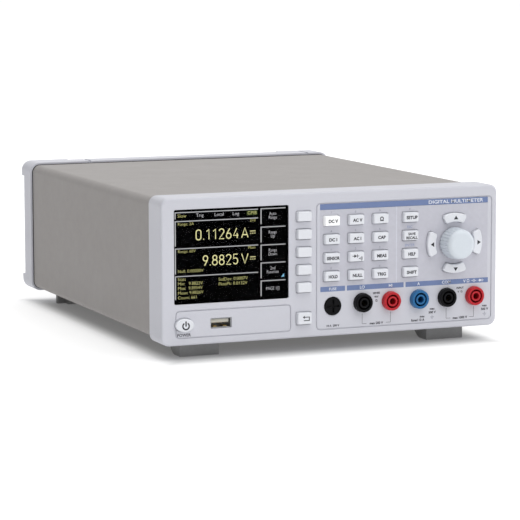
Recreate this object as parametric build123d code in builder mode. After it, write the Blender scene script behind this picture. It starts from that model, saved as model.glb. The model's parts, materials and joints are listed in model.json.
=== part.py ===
from build123d import *
import os
from math import atan2, copysign, cos, degrees, radians, sin, tan

# Half-rack bench multimeter, every subcomponent a separate piece in one shared frame.
# Millimetres, +Z up, the front panel faces -Y, and the origin lies under the middle of
# the instrument on the surface its feet stand on.
# "x" and "z" of a front or rear feature are measured from the middle of the panel and
# from the case bottom. "Depth" is measured rearwards from the flat front face.

# Case
CASE_WIDTH = 222.0
CASE_HEIGHT = 88.0
CASE_DEPTH = 280.0
CASE_CORNER = 5.0
FOOT_HEIGHT = 9.0
KNOB_REACH = 12.0
FRONT_Y = (KNOB_REACH - CASE_DEPTH) / 2
MID_Z = CASE_HEIGHT / 2

# Front bezel
BEZEL_DEPTH = 21.0
BEZEL_WALL = 3.0
BEZEL_EDGE = 1.2
PANEL_WALL = 3.0
GROOVE_WIDTH = 0.7
GROOVE_DEPTH = 0.5
LEFT_OUTLINE = (-65.2, 12.6, 74.4, 16.8)
RIGHT_OUTLINE = (48.0, 42.6, 119.2, 77.4)
OUTLINE_CORNER = 2.6

# Sleeve and rear frame
SLEEVE_INSET = 1.7
SLEEVE_WALL = 1.0
SLEEVE_CORNER = 5.0
SLEEVE_REAR = 257.0
REAR_FACE = 272.0
FRAME_INSET = 0.0
FRAME_CORNER = 6.5
FRAME_EDGE = 0.5
FRAME_SEAM = 0.8
FRAME_LIP = (216.0, 82.0)
FRAME_LIP_FRONT = 253.6
FRAME_LIP_CORNER = 3.6
FRAME_GROOVES = (-68.0, 95.0)
FRAME_GROOVE_WIDTH = 1.6
FRAME_GROOVE_DEPTH = 0.9
REAR_OPENING = (202.0, 68.0)
REAR_RECESS = (212.0, 78.0)
REAR_RECESS_DEPTH = 8.0
REAR_PANEL_THICKNESS = 1.5
REAR_PANEL_GAP = 0.2
BUMPER_WIDTH = 32.0
BUMPER_HEIGHT = 10.0
BUMPER_ROUND = 3.4

# Display
WINDOW_X = -66.2
WINDOW_Z = 52.85
WINDOW_WIDTH = 73.5
WINDOW_HEIGHT = 56.5
WINDOW_RECESS = 1.0
WINDOW_RIM = 1.8
WINDOW_THICKNESS = 1.2
MODULE_WIDTH = 78.0
MODULE_HEIGHT = 60.0
MODULE_FRONT = 3.2
MODULE_REAR = 9.2
ACTIVE_WIDTH = 73.0
ACTIVE_HEIGHT = 55.6
ACTIVE_RECESS = 0.4

# Keys
KEY_GAP = 0.28
KEY_RISE = 2.4
KEY_TAPER = 9.0
KEY_CORNER = 1.1
KEY_EDGE = 0.6
KEY_FLANGE = 1.0
KEY_FLANGE_FRONT = 3.05
KEY_FLANGE_REAR = 4.05
KEY_STEM = 3.0
KEY_STEM_REAR = 6.2
FUNCTION_WIDTH = 10.4
FUNCTION_HEIGHT = 6.3
FUNCTION_COLUMNS = (-1.6, 14.6, 30.8, 51.1)
FUNCTION_ROWS = (70.3, 59.05, 47.8, 36.55)
FUNCTION_NAMES = (
    ("key_dc_volts", "key_ac_volts", "key_ohms", "key_setup"),
    ("key_dc_current", "key_ac_current", "key_capacitance", "key_recall"),
    ("key_sensor", "key_diode", "key_measure", "key_help"),
    ("key_hold", "key_null", "key_trigger", "key_shift"),
)
SOFTKEY_X = -19.8
SOFTKEY_ROWS = (73.8, 63.0, 52.2, 41.4, 30.7)
SOFTKEY_WIDTH = 9.6
SOFTKEY_HEIGHT = 6.3
RETURN_Z = 11.9
RETURN_WIDTH = 9.6
RETURN_HEIGHT = 7.6
POWER_X = -97.0
POWER_Z = 12.4
POWER_WIDTH = 11.4
POWER_HEIGHT = 8.0

# Knob, its encoder and the ring of arrow keys
KNOB_X = 81.1
KNOB_Z = 53.0
KNOB_DIAMETER = 19.8
KNOB_TAPER = 4.0
KNOB_GAP = 0.9
KNOB_ROUND = 3.2
KNOB_FLUTES = 30
KNOB_FLUTE = 1.5
KNOB_FLUTE_BITE = 0.32
KNOB_FLUTE_LENGTH = 9.4
KNOB_BOSS = 8.0
KNOB_CAVITY = 15.0
KNOB_CAVITY_DEPTH = 5.0
SHAFT_DIAMETER = 4.0
SHAFT_REAR = 6.5
SHAFT_CLEARANCE = 0.1
ROTOR_DIAMETER = 6.2
ROTOR_FRONT = 0.6
ROTOR_FLANGE = 7.6
ROTOR_FLANGE_FRONT = 5.6
ROTOR_REAR = 7.0
BUSHING_DIAMETER = 9.0
BUSHING_FRONT = 0.3
ENCODER_SIZE = 13.0
ENCODER_FRONT = 4.0
ENCODER_REAR = 9.2
ENCODER_POCKET = 0.3
RING_OUTER = 18.7
RING_INNER = 13.2
RING_HALF_ANGLE = 26.0
RING_CORNER = 1.5
ARROWS = (("key_right", 0), ("key_up", 90), ("key_left", 180), ("key_down", 270))

# Keypad mat and front board
MAT_FRONT = 8.4
MAT_REAR = 9.4
MAT_PAD_FRONT = 7.2
MAT_PAD = 5.0
MAT_MAIN = (38.5, 53.5, 130.0, 51.0)
MAT_RETURN = (12.0, 12.0)
MAT_POWER = (14.0, 12.0)
MAT_ENCODER_HOLE = 14.4
BOARD_THICKNESS = 1.6
FRONT_BOARD = (0.0, 44.0, 210.0, 78.0)

# Sockets
SOCKET_FIRST_X = 19.2
SOCKET_PITCH = 19.05
SOCKET_Z = 19.3
SOCKET_NAMES = ("socket_sense_low", "socket_sense_high", "socket_current", "socket_common", "socket_volts")
SOCKET_COLLAR = 12.0
SOCKET_TAPER = 5.0
SOCKET_REACH = 3.4
SOCKET_EDGE = 0.4
SOCKET_BODY = 10.2
SOCKET_REAR = 19.0
SOCKET_SHROUD_OUTER = 8.4
SOCKET_SHROUD_INNER = 6.2
SOCKET_SHROUD_DEPTH = 12.0
SOCKET_BORE = 4.0
SOCKET_POCKET = 4.9
CONTACT_OUTER = 4.8
CONTACT_INNER = 4.0
CONTACT_FRONT = 6.0
CONTACT_BORE_REAR = 14.0
CONTACT_REAR = 17.0
CONTACT_PIN = 2.4
CONTACT_PIN_REAR = 24.0
HOLE_CLEARANCE = 0.2

# Fuse
FUSE_X = -0.5
FUSE_Z = 18.2
FUSE_CAP = 11.0
FUSE_CAP_REACH = 0.8
FUSE_CAP_REAR = 3.4
FUSE_CAP_EDGE = 0.5
FUSE_SLOT = (8.0, 1.4)
FUSE_SLOT_DEPTH = 1.2
FUSE_GRIP_OUTER = 7.6
FUSE_GRIP_INNER = 5.6
FUSE_GRIP_REAR = 8.4
FUSE_LINK = 5.2
FUSE_LINK_BAND = 5.0
FUSE_LINK_FRONT = 4.2
FUSE_LINK_REAR = 24.2
FUSE_GLASS = 4.8
FUSE_HOLDER_BODY = 14.0
FUSE_HOLDER_MOUTH = 11.5
FUSE_HOLDER_BORE = 8.2
FUSE_HOLDER_STEP = 4.6
FUSE_HOLDER_BORE_REAR = 26.0
FUSE_HOLDER_REAR = 30.0

# USB socket on the front
USB_X = -73.3
USB_Z = 12.3
USB_WIDTH = 13.1
USB_HEIGHT = 5.7
USB_WALL = 0.35
USB_FRONT = 0.6
USB_REAR = 14.6
USB_BACK_WALL = 0.8
USB_TONGUE = (11.1, 1.8)
USB_TONGUE_RISE = 1.1
USB_TONGUE_FRONT = 2.4
USB_CUTOUT_GAP = 0.25

# Feet and tilt legs
FOOT_X = 82.0
FOOT_WIDTH = 25.0
FOOT_LENGTH = 20.5
FOOT_FRONT = 13.5
FOOT_REAR_END = 255.0
FOOT_REAR_PLATE = 3.6
FOOT_REAR_INSET = 5.7
FOOT_FLAT = 9.0
FOOT_TOE = 5.4
FOOT_CHANNEL = 20.0
FOOT_CHANNEL_START = 8.6
FOOT_CHANNEL_TOP = 9.3
LEG_PIVOT_DEPTH = 25.5
LEG_PIVOT_Z = 6.2
LEG_WIDTH = 19.4
LEG_THICKNESS = 4.0
LEG_LENGTH = 27.0
LEG_PIN = 3.0
LEG_PIN_REACH = 11.6
LEG_PIN_CLEARANCE = 0.1
LEG_WEB = 9.0
LEG_WEB_LENGTH = 12.0
FOOT_SCREW_OFFSET = 4.6
FOOT_SCREW_HEAD = 5.4
FOOT_SCREW_BORE = 5.8
FOOT_SCREW_SINK = 1.0
FOOT_SCREW_HEAD_HEIGHT = 2.0
FOOT_SCREW_SHANK = 2.8
FOOT_SCREW_HOLE = 3.2
FOOT_SCREW_TOP = 8.6

# Rear connectors
ENTRY_X = -62.0
ENTRY_Z = 29.0
ENTRY_FLANGE = (66.0, 30.0)
ENTRY_FLANGE_THICKNESS = 2.5
ENTRY_BODY = (60.0, 26.0)
ENTRY_BODY_FRONT = 247.0
ENTRY_JOIN_OFFSET = 4.0
ENTRY_JOIN_GAP = 0.2
INLET_OFFSET = -14.0
INLET_CAVITY = (24.6, 17.0)
INLET_CHAMFER = 4.0
INLET_CAVITY_DEPTH = 15.5
INLET_PIN = (2.0, 4.0)
INLET_PIN_LENGTH = 13.0
INLET_PINS = ((-7.0, -1.0), (7.0, -1.0), (0.0, 3.0))
ROCKER_OFFSET = 19.0
ROCKER_WIDTH = 12.6
ROCKER_TILT = 10.0
ROCKER_RECESS = (13.2, 21.6)
ROCKER_RECESS_DEPTH = 7.0
ROCKER_PIN = 2.4
ROCKER_PIN_HOLE = 2.6
ROCKER_PIN_SPAN = 14.6
ROCKER_PIN_HOLE_SPAN = 15.0
ROCKER_PROFILE = ((-3.0, 2.6), (-1.0, 9.5), (3.2, 9.9), (1.8, 0.0), (3.2, -9.9), (-1.0, -9.5), (-3.0, -2.6))
INTERFACE_X = 58.0
INTERFACE_Z = 58.0
INTERFACE_PLATE = (64.0, 26.0)
INTERFACE_THICKNESS = 1.2
INTERFACE_WINDOW = (54.0, 20.0)
LAN_OFFSET = 12.0
LAN_SHELL = (16.4, 13.8)
LAN_CAVITY = (11.8, 8.4)
LAN_SHELL_FRONT = 249.0
LAN_CAVITY_DEPTH = 13.0
USB_B_OFFSET = -14.0
USB_B_SHELL = (12.0, 11.0)
USB_B_CAVITY = (8.6, 7.8)
USB_B_TONGUE = (5.6, 3.2)
USB_B_CAVITY_DEPTH = 9.0
BNC_X = 12.0
BNC_Z = 26.0
BNC_FLANGE = 14.0
BNC_FLANGE_THICKNESS = 2.0
BNC_BARREL = 9.7
BNC_BORE = 8.1
BNC_BARREL_LENGTH = 12.0
BNC_PIN = 3.4
BNC_PIN_BORE = 1.4
BNC_LUG = 2.0
BNC_LUG_SPAN = 11.4
BNC_LUG_BACK = 4.0
BNC_THREAD = 9.0
BNC_REAR = 250.0
VENT_SLOT = (2.4, 16.0)
VENT_PITCH = 5.0
VENT_COUNT = 14
VENT_X = -52.0
VENT_Z = 62.0
PANEL_SCREWS = ((-98.0, 70.0), (98.0, 70.0), (-98.0, 16.0), (98.0, 16.0))
PANEL_SCREW_HEAD = 6.0
PANEL_SCREW_HEAD_HEIGHT = 2.2
PANEL_SCREW_SHANK = 3.0
PANEL_SCREW_HOLE = 3.4
PANEL_SCREW_REACH = 5.0
CROSS_SLOT = (3.2, 0.8)
CROSS_DEPTH = 1.0

# Internals
TRAY_FRONT = 37.0
TRAY_REAR = 253.0
TRAY_WIDTH = 208.0
TRAY_THICKNESS = 1.0
TRAY_FLANGE = 14.0
STANDOFF_HEIGHT = 6.0
STANDOFF_DIAMETER = 6.0
STANDOFFS = ((-90.0, 50.0), (90.0, 50.0), (-90.0, 145.0), (90.0, 145.0))
MAIN_BOARD = (0.0, 98.0, 196.0, 110.0)
CAPACITORS = ((70.0, 130.0, 12.0, 22.0), (70.0, 112.0, 12.0, 22.0), (52.0, 130.0, 10.0, 16.0))
RELAYS = ((80.0, 56.0), (62.0, 56.0), (44.0, 56.0), (26.0, 56.0))
RELAY_SIZE = (14.0, 9.0, 7.0)
CHIPS = ((-70.0, 130.0, 18.0), (-40.0, 130.0, 14.0), (10.0, 130.0, 12.0))
CHIP_HEIGHT = 1.6
SHIELD = (-40.0, 84.0, 90.0, 56.0)
SHIELD_HEIGHT = 16.0
SHIELD_WALL = 0.6
TRANSFORMER_X = -58.0
TRANSFORMER_DEPTH = 200.0
TRANSFORMER_CORE = (56.0, 34.0, 44.0)
TRANSFORMER_COIL = (36.0, 50.0, 28.0)
TRANSFORMER_FEET = (72.0, 20.0, 2.0)

SLEEVE_FLOOR = SLEEVE_INSET + SLEEVE_WALL
PANEL_OUTER = SLEEVE_REAR + REAR_RECESS_DEPTH
PANEL_INNER = PANEL_OUTER - REAR_PANEL_THICKNESS
BOARD_DECK = SLEEVE_FLOOR + TRAY_THICKNESS + STANDOFF_HEIGHT

inlet_x = ENTRY_X + INLET_OFFSET
rocker_x = ENTRY_X + ROCKER_OFFSET
join_x = ENTRY_X + ENTRY_JOIN_OFFSET
entry_face = PANEL_OUTER + ENTRY_FLANGE_THICKNESS
inlet_floor = entry_face - INLET_CAVITY_DEPTH

os.makedirs("parts", exist_ok=True)


def save(piece, name):
    """Label a finished piece and write it to the parts folder."""
    piece.part.label = name
    export_step(piece.part, f"parts/{name}.step")


def upright(depth):
    """Sketch plane parallel to the front face: x to the right, y up from the case bottom."""
    return Plane(origin=(0, FRONT_Y + depth, FOOT_HEIGHT), x_dir=(1, 0, 0), z_dir=(0, -1, 0))


def level(height):
    """Level sketch plane: x to the right, y rearwards from the front face."""
    return Plane(origin=(0, FRONT_Y, FOOT_HEIGHT + height), x_dir=(1, 0, 0), z_dir=(0, 0, 1))


def slab(x, z, size, near, far, corner=0.0, mode=Mode.ADD):
    """Upright rectangular slab between two depths."""
    with BuildSketch(upright(near)) as outline:
        with Locations((x, z)):
            if corner > 0:
                RectangleRounded(size[0], size[1], corner)
            else:
                Rectangle(size[0], size[1])
    extrude(outline.sketch, amount=near - far, mode=mode)


def rod(x, z, diameter, near, far, taper=0.0, mode=Mode.ADD):
    """Round rod along the depth direction between two depths."""
    with BuildSketch(upright(near)) as outline:
        with Locations((x, z)):
            Circle(diameter / 2)
    extrude(outline.sketch, amount=near - far, taper=taper, mode=mode)


def deck(x, depth, size, low, high, mode=Mode.ADD):
    """Level rectangular slab between two heights above the case bottom."""
    with BuildSketch(level(low)) as outline:
        with Locations((x, depth)):
            Rectangle(size[0], size[1])
    extrude(outline.sketch, amount=high - low, mode=mode)


def post(x, depth, diameter, low, high, mode=Mode.ADD):
    """Round post standing between two heights above the case bottom."""
    with BuildSketch(level(low)) as outline:
        with Locations((x, depth)):
            Circle(diameter / 2)
    extrude(outline.sketch, amount=high - low, mode=mode)


def arrow_outline(depth, angle, grow):
    """One ring segment around the knob, grown all round by a margin."""
    spread = RING_HALF_ANGLE + degrees(atan2(grow, RING_OUTER))
    reach = 2 * RING_OUTER
    left = angle - spread
    right = angle + spread
    corners = [
        (KNOB_X, KNOB_Z),
        (KNOB_X + reach * cos(radians(left)), KNOB_Z + reach * sin(radians(left))),
        (KNOB_X + reach * cos(radians(right)), KNOB_Z + reach * sin(radians(right))),
    ]
    with BuildSketch(upright(depth)) as outline:
        with Locations((KNOB_X, KNOB_Z)):
            Circle(RING_OUTER + grow)
            Circle(RING_INNER - grow, mode=Mode.SUBTRACT)
        Polygon(*corners, align=None, mode=Mode.INTERSECT)
        fillet(outline.vertices(), RING_CORNER + grow / 2)
    return outline.sketch


def foremost_edges(piece):
    """Edges round the frontmost flat face of a piece."""
    return piece.faces().filter_by(Axis.Y).sort_by(Axis.Y)[0].edges()


def make_key(name, x, z, width, height):
    """Rectangular push key: drafted cap, retaining flange and stem."""
    with BuildPart() as key:
        with BuildSketch(upright(0)):
            with Locations((x, z)):
                RectangleRounded(width, height, KEY_CORNER)
        extrude(amount=KEY_RISE, taper=KEY_TAPER)
        fillet(foremost_edges(key), KEY_EDGE)
        slab(x, z, (width, height), 0, KEY_FLANGE_FRONT, KEY_CORNER)
        flange = (width + 2 * KEY_FLANGE, height + 2 * KEY_FLANGE)
        slab(x, z, flange, KEY_FLANGE_FRONT, KEY_FLANGE_REAR)
        slab(x, z, (KEY_STEM, KEY_STEM), KEY_FLANGE_REAR, KEY_STEM_REAR)
    save(key, name)


def make_power_key():
    """Oval power key with the same flange and stem as the other keys."""
    with BuildPart() as key:
        with BuildSketch(upright(0)):
            with Locations((POWER_X, POWER_Z)):
                Ellipse(POWER_WIDTH / 2, POWER_HEIGHT / 2)
        extrude(amount=KEY_RISE)
        fillet(foremost_edges(key), KEY_EDGE)
        with BuildSketch(upright(0)):
            with Locations((POWER_X, POWER_Z)):
                Ellipse(POWER_WIDTH / 2, POWER_HEIGHT / 2)
        extrude(amount=-KEY_FLANGE_FRONT)
        flange = (POWER_WIDTH + 2 * KEY_FLANGE, POWER_HEIGHT + 2 * KEY_FLANGE)
        slab(POWER_X, POWER_Z, flange, KEY_FLANGE_FRONT, KEY_FLANGE_REAR)
        slab(POWER_X, POWER_Z, (KEY_STEM, KEY_STEM), KEY_FLANGE_REAR, KEY_STEM_REAR)
    save(key, "key_power")


def arrow_stem(angle):
    """Centre of the stem behind one arrow key."""
    radius = (RING_OUTER + RING_INNER) / 2
    return KNOB_X + radius * cos(radians(angle)), KNOB_Z + radius * sin(radians(angle))


def make_arrow_key(name, angle):
    """Curved arrow key: one segment of the ring around the knob."""
    with BuildPart() as key:
        extrude(arrow_outline(0, angle, 0), amount=KEY_RISE)
        fillet(foremost_edges(key), KEY_EDGE)
        extrude(arrow_outline(0, angle, 0), amount=-KEY_FLANGE_FRONT)
        thickness = KEY_FLANGE_REAR - KEY_FLANGE_FRONT
        extrude(arrow_outline(KEY_FLANGE_FRONT, angle, KEY_FLANGE), amount=-thickness)
        x, z = arrow_stem(angle)
        slab(x, z, (KEY_STEM, KEY_STEM), KEY_FLANGE_REAR, KEY_STEM_REAR)
    save(key, name)


def socket_x(index):
    """Centre of one of the five measuring sockets, counted from the left."""
    return SOCKET_FIRST_X + index * SOCKET_PITCH


def make_socket(name, x):
    """Shrouded 4 mm safety socket: collar, shroud groove, centre ring, bore and contact pocket."""
    with BuildPart() as socket:
        rod(x, SOCKET_Z, SOCKET_COLLAR, 0, -SOCKET_REACH, taper=SOCKET_TAPER)
        fillet(foremost_edges(socket), SOCKET_EDGE)
        rod(x, SOCKET_Z, SOCKET_BODY, 0, SOCKET_REAR)
        with BuildSketch(upright(-SOCKET_REACH)):
            with Locations((x, SOCKET_Z)):
                Circle(SOCKET_SHROUD_OUTER / 2)
                Circle(SOCKET_SHROUD_INNER / 2, mode=Mode.SUBTRACT)
        extrude(amount=-SOCKET_SHROUD_DEPTH, mode=Mode.SUBTRACT)
        rod(x, SOCKET_Z, SOCKET_BORE, -SOCKET_REACH, CONTACT_FRONT, mode=Mode.SUBTRACT)
        rod(x, SOCKET_Z, SOCKET_POCKET, CONTACT_FRONT, SOCKET_REAR, mode=Mode.SUBTRACT)
    save(socket, name)


def foot_block(x, width, start, direction, seam):
    """One foot: flat at its outer end, curving up towards the middle of the case.

    "seam" is the distance from the outer end at which the case above steps up from the
    bezel to the sleeve, or zero when the whole foot lies under the sleeve.
    """
    top = FOOT_HEIGHT + SLEEVE_INSET
    side = Plane(
        origin=(x, FRONT_Y + start, 0),
        x_dir=(0, direction, 0),
        z_dir=(direction, 0, 0),
    )
    with BuildSketch(side) as profile:
        with BuildLine():
            flat = Line((0, 0), (FOOT_FLAT, 0))
            curve = Spline(
                (FOOT_FLAT, 0),
                (FOOT_LENGTH, FOOT_TOE),
                tangents=((1, 0), (1, 0.15)),
            )
            toe = Line(curve @ 1, (FOOT_LENGTH, top))
            if seam > 0:
                Polyline(toe @ 1, (seam, top), (seam, FOOT_HEIGHT), (0, FOOT_HEIGHT), flat @ 0)
            else:
                Polyline(toe @ 1, (0, top), flat @ 0)
        make_face()
    extrude(profile.sketch, amount=width / 2, both=True)


def make_leg(name, x):
    """Fold-out tilt leg with its two pivot pins, folded back under the case."""
    pivot = Plane(
        origin=(x, FRONT_Y + LEG_PIVOT_DEPTH, LEG_PIVOT_Z),
        x_dir=(0, 1, 0),
        z_dir=(1, 0, 0),
    )
    half = LEG_THICKNESS / 2
    with BuildPart() as leg:
        with BuildSketch(pivot):
            Circle(half)
            with Locations((LEG_LENGTH / 2, 0)):
                Rectangle(LEG_LENGTH, LEG_THICKNESS)
            with Locations((LEG_LENGTH, 0)):
                Circle(half)
        extrude(amount=LEG_WIDTH / 2, both=True)
        with BuildSketch(pivot):
            Circle(LEG_PIN / 2)
        extrude(amount=LEG_PIN_REACH, both=True)
        underside = LEG_PIVOT_Z - half - FOOT_HEIGHT
        deck(
            x,
            LEG_PIVOT_DEPTH + LEG_LENGTH / 2,
            (LEG_WEB, LEG_WEB_LENGTH),
            underside,
            underside + LEG_THICKNESS,
            mode=Mode.SUBTRACT,
        )
    save(leg, name)


def screw(x, z, head, height, shank, face, reach):
    """Pan-head screw driven forwards into the rear panel."""
    rod(x, z, head, face, face + height)
    rod(x, z, shank, face - reach, face)
    slab(x, z, CROSS_SLOT, face + height - CROSS_DEPTH, face + height, mode=Mode.SUBTRACT)
    slab(x, z, CROSS_SLOT[::-1], face + height - CROSS_DEPTH, face + height, mode=Mode.SUBTRACT)


# Front bezel: moulded frame and front wall in one piece
with BuildPart() as front_bezel:
    slab(0, MID_Z, (CASE_WIDTH, CASE_HEIGHT), 0, BEZEL_DEPTH, CASE_CORNER)
    fillet(foremost_edges(front_bezel), BEZEL_EDGE)
    slab(
        0,
        MID_Z,
        (CASE_WIDTH - 2 * BEZEL_WALL, CASE_HEIGHT - 2 * BEZEL_WALL),
        PANEL_WALL,
        BEZEL_DEPTH,
        CASE_CORNER - BEZEL_WALL,
        Mode.SUBTRACT,
    )
    for x, z, width, height in (LEFT_OUTLINE, RIGHT_OUTLINE):
        with BuildSketch(upright(0)):
            with Locations((x, z)):
                RectangleRounded(width, height, OUTLINE_CORNER)
                RectangleRounded(
                    width - 2 * GROOVE_WIDTH,
                    height - 2 * GROOVE_WIDTH,
                    OUTLINE_CORNER - GROOVE_WIDTH,
                    mode=Mode.SUBTRACT,
                )
        extrude(amount=-GROOVE_DEPTH, mode=Mode.SUBTRACT)
    slab(
        WINDOW_X,
        WINDOW_Z,
        (WINDOW_WIDTH, WINDOW_HEIGHT),
        0,
        PANEL_WALL,
        KEY_CORNER,
        Mode.SUBTRACT,
    )
    slab(
        WINDOW_X,
        WINDOW_Z,
        (WINDOW_WIDTH + 2 * WINDOW_RIM + HOLE_CLEARANCE, WINDOW_HEIGHT + 2 * WINDOW_RIM + HOLE_CLEARANCE),
        WINDOW_RECESS,
        PANEL_WALL,
        mode=Mode.SUBTRACT,
    )
    function_hole = (FUNCTION_WIDTH + 2 * KEY_GAP, FUNCTION_HEIGHT + 2 * KEY_GAP)
    for z in FUNCTION_ROWS:
        for x in FUNCTION_COLUMNS:
            slab(x, z, function_hole, 0, PANEL_WALL, KEY_CORNER, Mode.SUBTRACT)
    softkey_hole = (SOFTKEY_WIDTH + 2 * KEY_GAP, SOFTKEY_HEIGHT + 2 * KEY_GAP)
    for z in SOFTKEY_ROWS:
        slab(SOFTKEY_X, z, softkey_hole, 0, PANEL_WALL, KEY_CORNER, Mode.SUBTRACT)
    return_hole = (RETURN_WIDTH + 2 * KEY_GAP, RETURN_HEIGHT + 2 * KEY_GAP)
    slab(SOFTKEY_X, RETURN_Z, return_hole, 0, PANEL_WALL, KEY_CORNER, Mode.SUBTRACT)
    with BuildSketch(upright(0)):
        with Locations((POWER_X, POWER_Z)):
            Ellipse(POWER_WIDTH / 2 + KEY_GAP, POWER_HEIGHT / 2 + KEY_GAP)
    extrude(amount=-PANEL_WALL, mode=Mode.SUBTRACT)
    for name, angle in ARROWS:
        extrude(arrow_outline(0, angle, KEY_GAP), amount=-PANEL_WALL, mode=Mode.SUBTRACT)
    rod(KNOB_X, KNOB_Z, BUSHING_DIAMETER + HOLE_CLEARANCE, 0, PANEL_WALL, mode=Mode.SUBTRACT)
    rod(FUSE_X, FUSE_Z, FUSE_HOLDER_MOUTH, 0, PANEL_WALL, mode=Mode.SUBTRACT)
    for index in range(len(SOCKET_NAMES)):
        rod(socket_x(index), SOCKET_Z, SOCKET_BODY + HOLE_CLEARANCE, 0, PANEL_WALL, mode=Mode.SUBTRACT)
    usb_cutout = (USB_WIDTH + 2 * USB_CUTOUT_GAP, USB_HEIGHT + 2 * USB_CUTOUT_GAP)
    slab(USB_X, USB_Z, usb_cutout, 0, PANEL_WALL, USB_WALL, Mode.SUBTRACT)
save(front_bezel, "front_bezel")

# Display window and the display module behind it
with BuildPart() as display_window:
    slab(
        WINDOW_X,
        WINDOW_Z,
        (WINDOW_WIDTH + 2 * WINDOW_RIM, WINDOW_HEIGHT + 2 * WINDOW_RIM),
        WINDOW_RECESS,
        WINDOW_RECESS + WINDOW_THICKNESS,
    )
save(display_window, "display_window")

with BuildPart() as display_module:
    slab(WINDOW_X, WINDOW_Z, (MODULE_WIDTH, MODULE_HEIGHT), MODULE_FRONT, MODULE_REAR)
    slab(
        WINDOW_X,
        WINDOW_Z,
        (ACTIVE_WIDTH, ACTIVE_HEIGHT),
        MODULE_FRONT,
        MODULE_FRONT + ACTIVE_RECESS,
        mode=Mode.SUBTRACT,
    )
save(display_module, "display_module")

# Push keys
for z, row_names in zip(FUNCTION_ROWS, FUNCTION_NAMES):
    for x, name in zip(FUNCTION_COLUMNS, row_names):
        make_key(name, x, z, FUNCTION_WIDTH, FUNCTION_HEIGHT)
for number, z in enumerate(SOFTKEY_ROWS, start=1):
    make_key(f"softkey_{number}", SOFTKEY_X, z, SOFTKEY_WIDTH, SOFTKEY_HEIGHT)
make_key("key_return", SOFTKEY_X, RETURN_Z, RETURN_WIDTH, RETURN_HEIGHT)
make_power_key()
for name, angle in ARROWS:
    make_arrow_key(name, angle)

# Knob with its shaft, the turning sleeve it slides in, and the fixed encoder body
with BuildPart() as knob:
    rod(KNOB_X, KNOB_Z, KNOB_DIAMETER, -KNOB_GAP, -KNOB_REACH, taper=KNOB_TAPER)
    fillet(foremost_edges(knob), KNOB_ROUND)
    for flute in range(KNOB_FLUTES):
        turn = radians(360 * flute / KNOB_FLUTES)
        across = KNOB_DIAMETER / 2 + KNOB_FLUTE / 2 - KNOB_FLUTE_BITE
        inward = across - KNOB_FLUTE_LENGTH * tan(radians(KNOB_TAPER))
        near = Vector(
            KNOB_X + across * cos(turn),
            FRONT_Y - KNOB_GAP,
            FOOT_HEIGHT + KNOB_Z + across * sin(turn),
        )
        far = Vector(
            KNOB_X + inward * cos(turn),
            FRONT_Y - KNOB_GAP - KNOB_FLUTE_LENGTH,
            FOOT_HEIGHT + KNOB_Z + inward * sin(turn),
        )
        lengthwise = (far - near).normalized()
        with BuildSketch(Plane(origin=near - lengthwise, z_dir=lengthwise)):
            Circle(KNOB_FLUTE / 2)
        extrude(amount=(far - near).length + 1, mode=Mode.SUBTRACT)
    rod(KNOB_X, KNOB_Z, KNOB_CAVITY, -KNOB_GAP - KNOB_CAVITY_DEPTH, -KNOB_GAP, mode=Mode.SUBTRACT)
    rod(KNOB_X, KNOB_Z, KNOB_BOSS, -KNOB_GAP - KNOB_CAVITY_DEPTH, -KNOB_GAP)
    rod(KNOB_X, KNOB_Z, SHAFT_DIAMETER, -KNOB_GAP, SHAFT_REAR)
save(knob, "knob")

with BuildPart() as encoder_rotor:
    rod(KNOB_X, KNOB_Z, ROTOR_DIAMETER, ROTOR_FRONT, ROTOR_REAR)
    rod(KNOB_X, KNOB_Z, ROTOR_FLANGE, ROTOR_FLANGE_FRONT, ROTOR_REAR)
    rod(
        KNOB_X,
        KNOB_Z,
        SHAFT_DIAMETER + 2 * SHAFT_CLEARANCE,
        ROTOR_FRONT,
        ROTOR_REAR,
        mode=Mode.SUBTRACT,
    )
save(encoder_rotor, "encoder_rotor")

with BuildPart() as encoder_body:
    slab(KNOB_X, KNOB_Z, (ENCODER_SIZE, ENCODER_SIZE), ENCODER_FRONT, ENCODER_REAR)
    rod(KNOB_X, KNOB_Z, BUSHING_DIAMETER, BUSHING_FRONT, ENCODER_FRONT)
    rod(
        KNOB_X,
        KNOB_Z,
        ROTOR_DIAMETER + 2 * SHAFT_CLEARANCE,
        BUSHING_FRONT,
        ROTOR_FLANGE_FRONT,
        mode=Mode.SUBTRACT,
    )
    rod(
        KNOB_X,
        KNOB_Z,
        ROTOR_FLANGE + 2 * ENCODER_POCKET,
        ROTOR_FLANGE_FRONT - ENCODER_POCKET,
        ROTOR_REAR + ENCODER_POCKET,
        mode=Mode.SUBTRACT,
    )
save(encoder_body, "encoder_body")

# Rubber keypad mat with a raised pad behind every key
with BuildPart() as keypad_mat:
    mat_x, mat_z, mat_width, mat_height = MAT_MAIN
    slab(mat_x, mat_z, (mat_width, mat_height), MAT_FRONT, MAT_REAR)
    slab(SOFTKEY_X, RETURN_Z, MAT_RETURN, MAT_FRONT, MAT_REAR)
    slab(POWER_X, POWER_Z, MAT_POWER, MAT_FRONT, MAT_REAR)
    encoder_hole = (MAT_ENCODER_HOLE, MAT_ENCODER_HOLE)
    slab(KNOB_X, KNOB_Z, encoder_hole, MAT_FRONT, MAT_REAR, mode=Mode.SUBTRACT)
    pads = [(x, z) for z in FUNCTION_ROWS for x in FUNCTION_COLUMNS]
    pads += [(SOFTKEY_X, z) for z in SOFTKEY_ROWS]
    pads += [(SOFTKEY_X, RETURN_Z), (POWER_X, POWER_Z)]
    pads += [arrow_stem(angle) for name, angle in ARROWS]
    for x, z in pads:
        rod(x, z, MAT_PAD, MAT_PAD_FRONT, MAT_FRONT)
save(keypad_mat, "keypad_mat")

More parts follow.
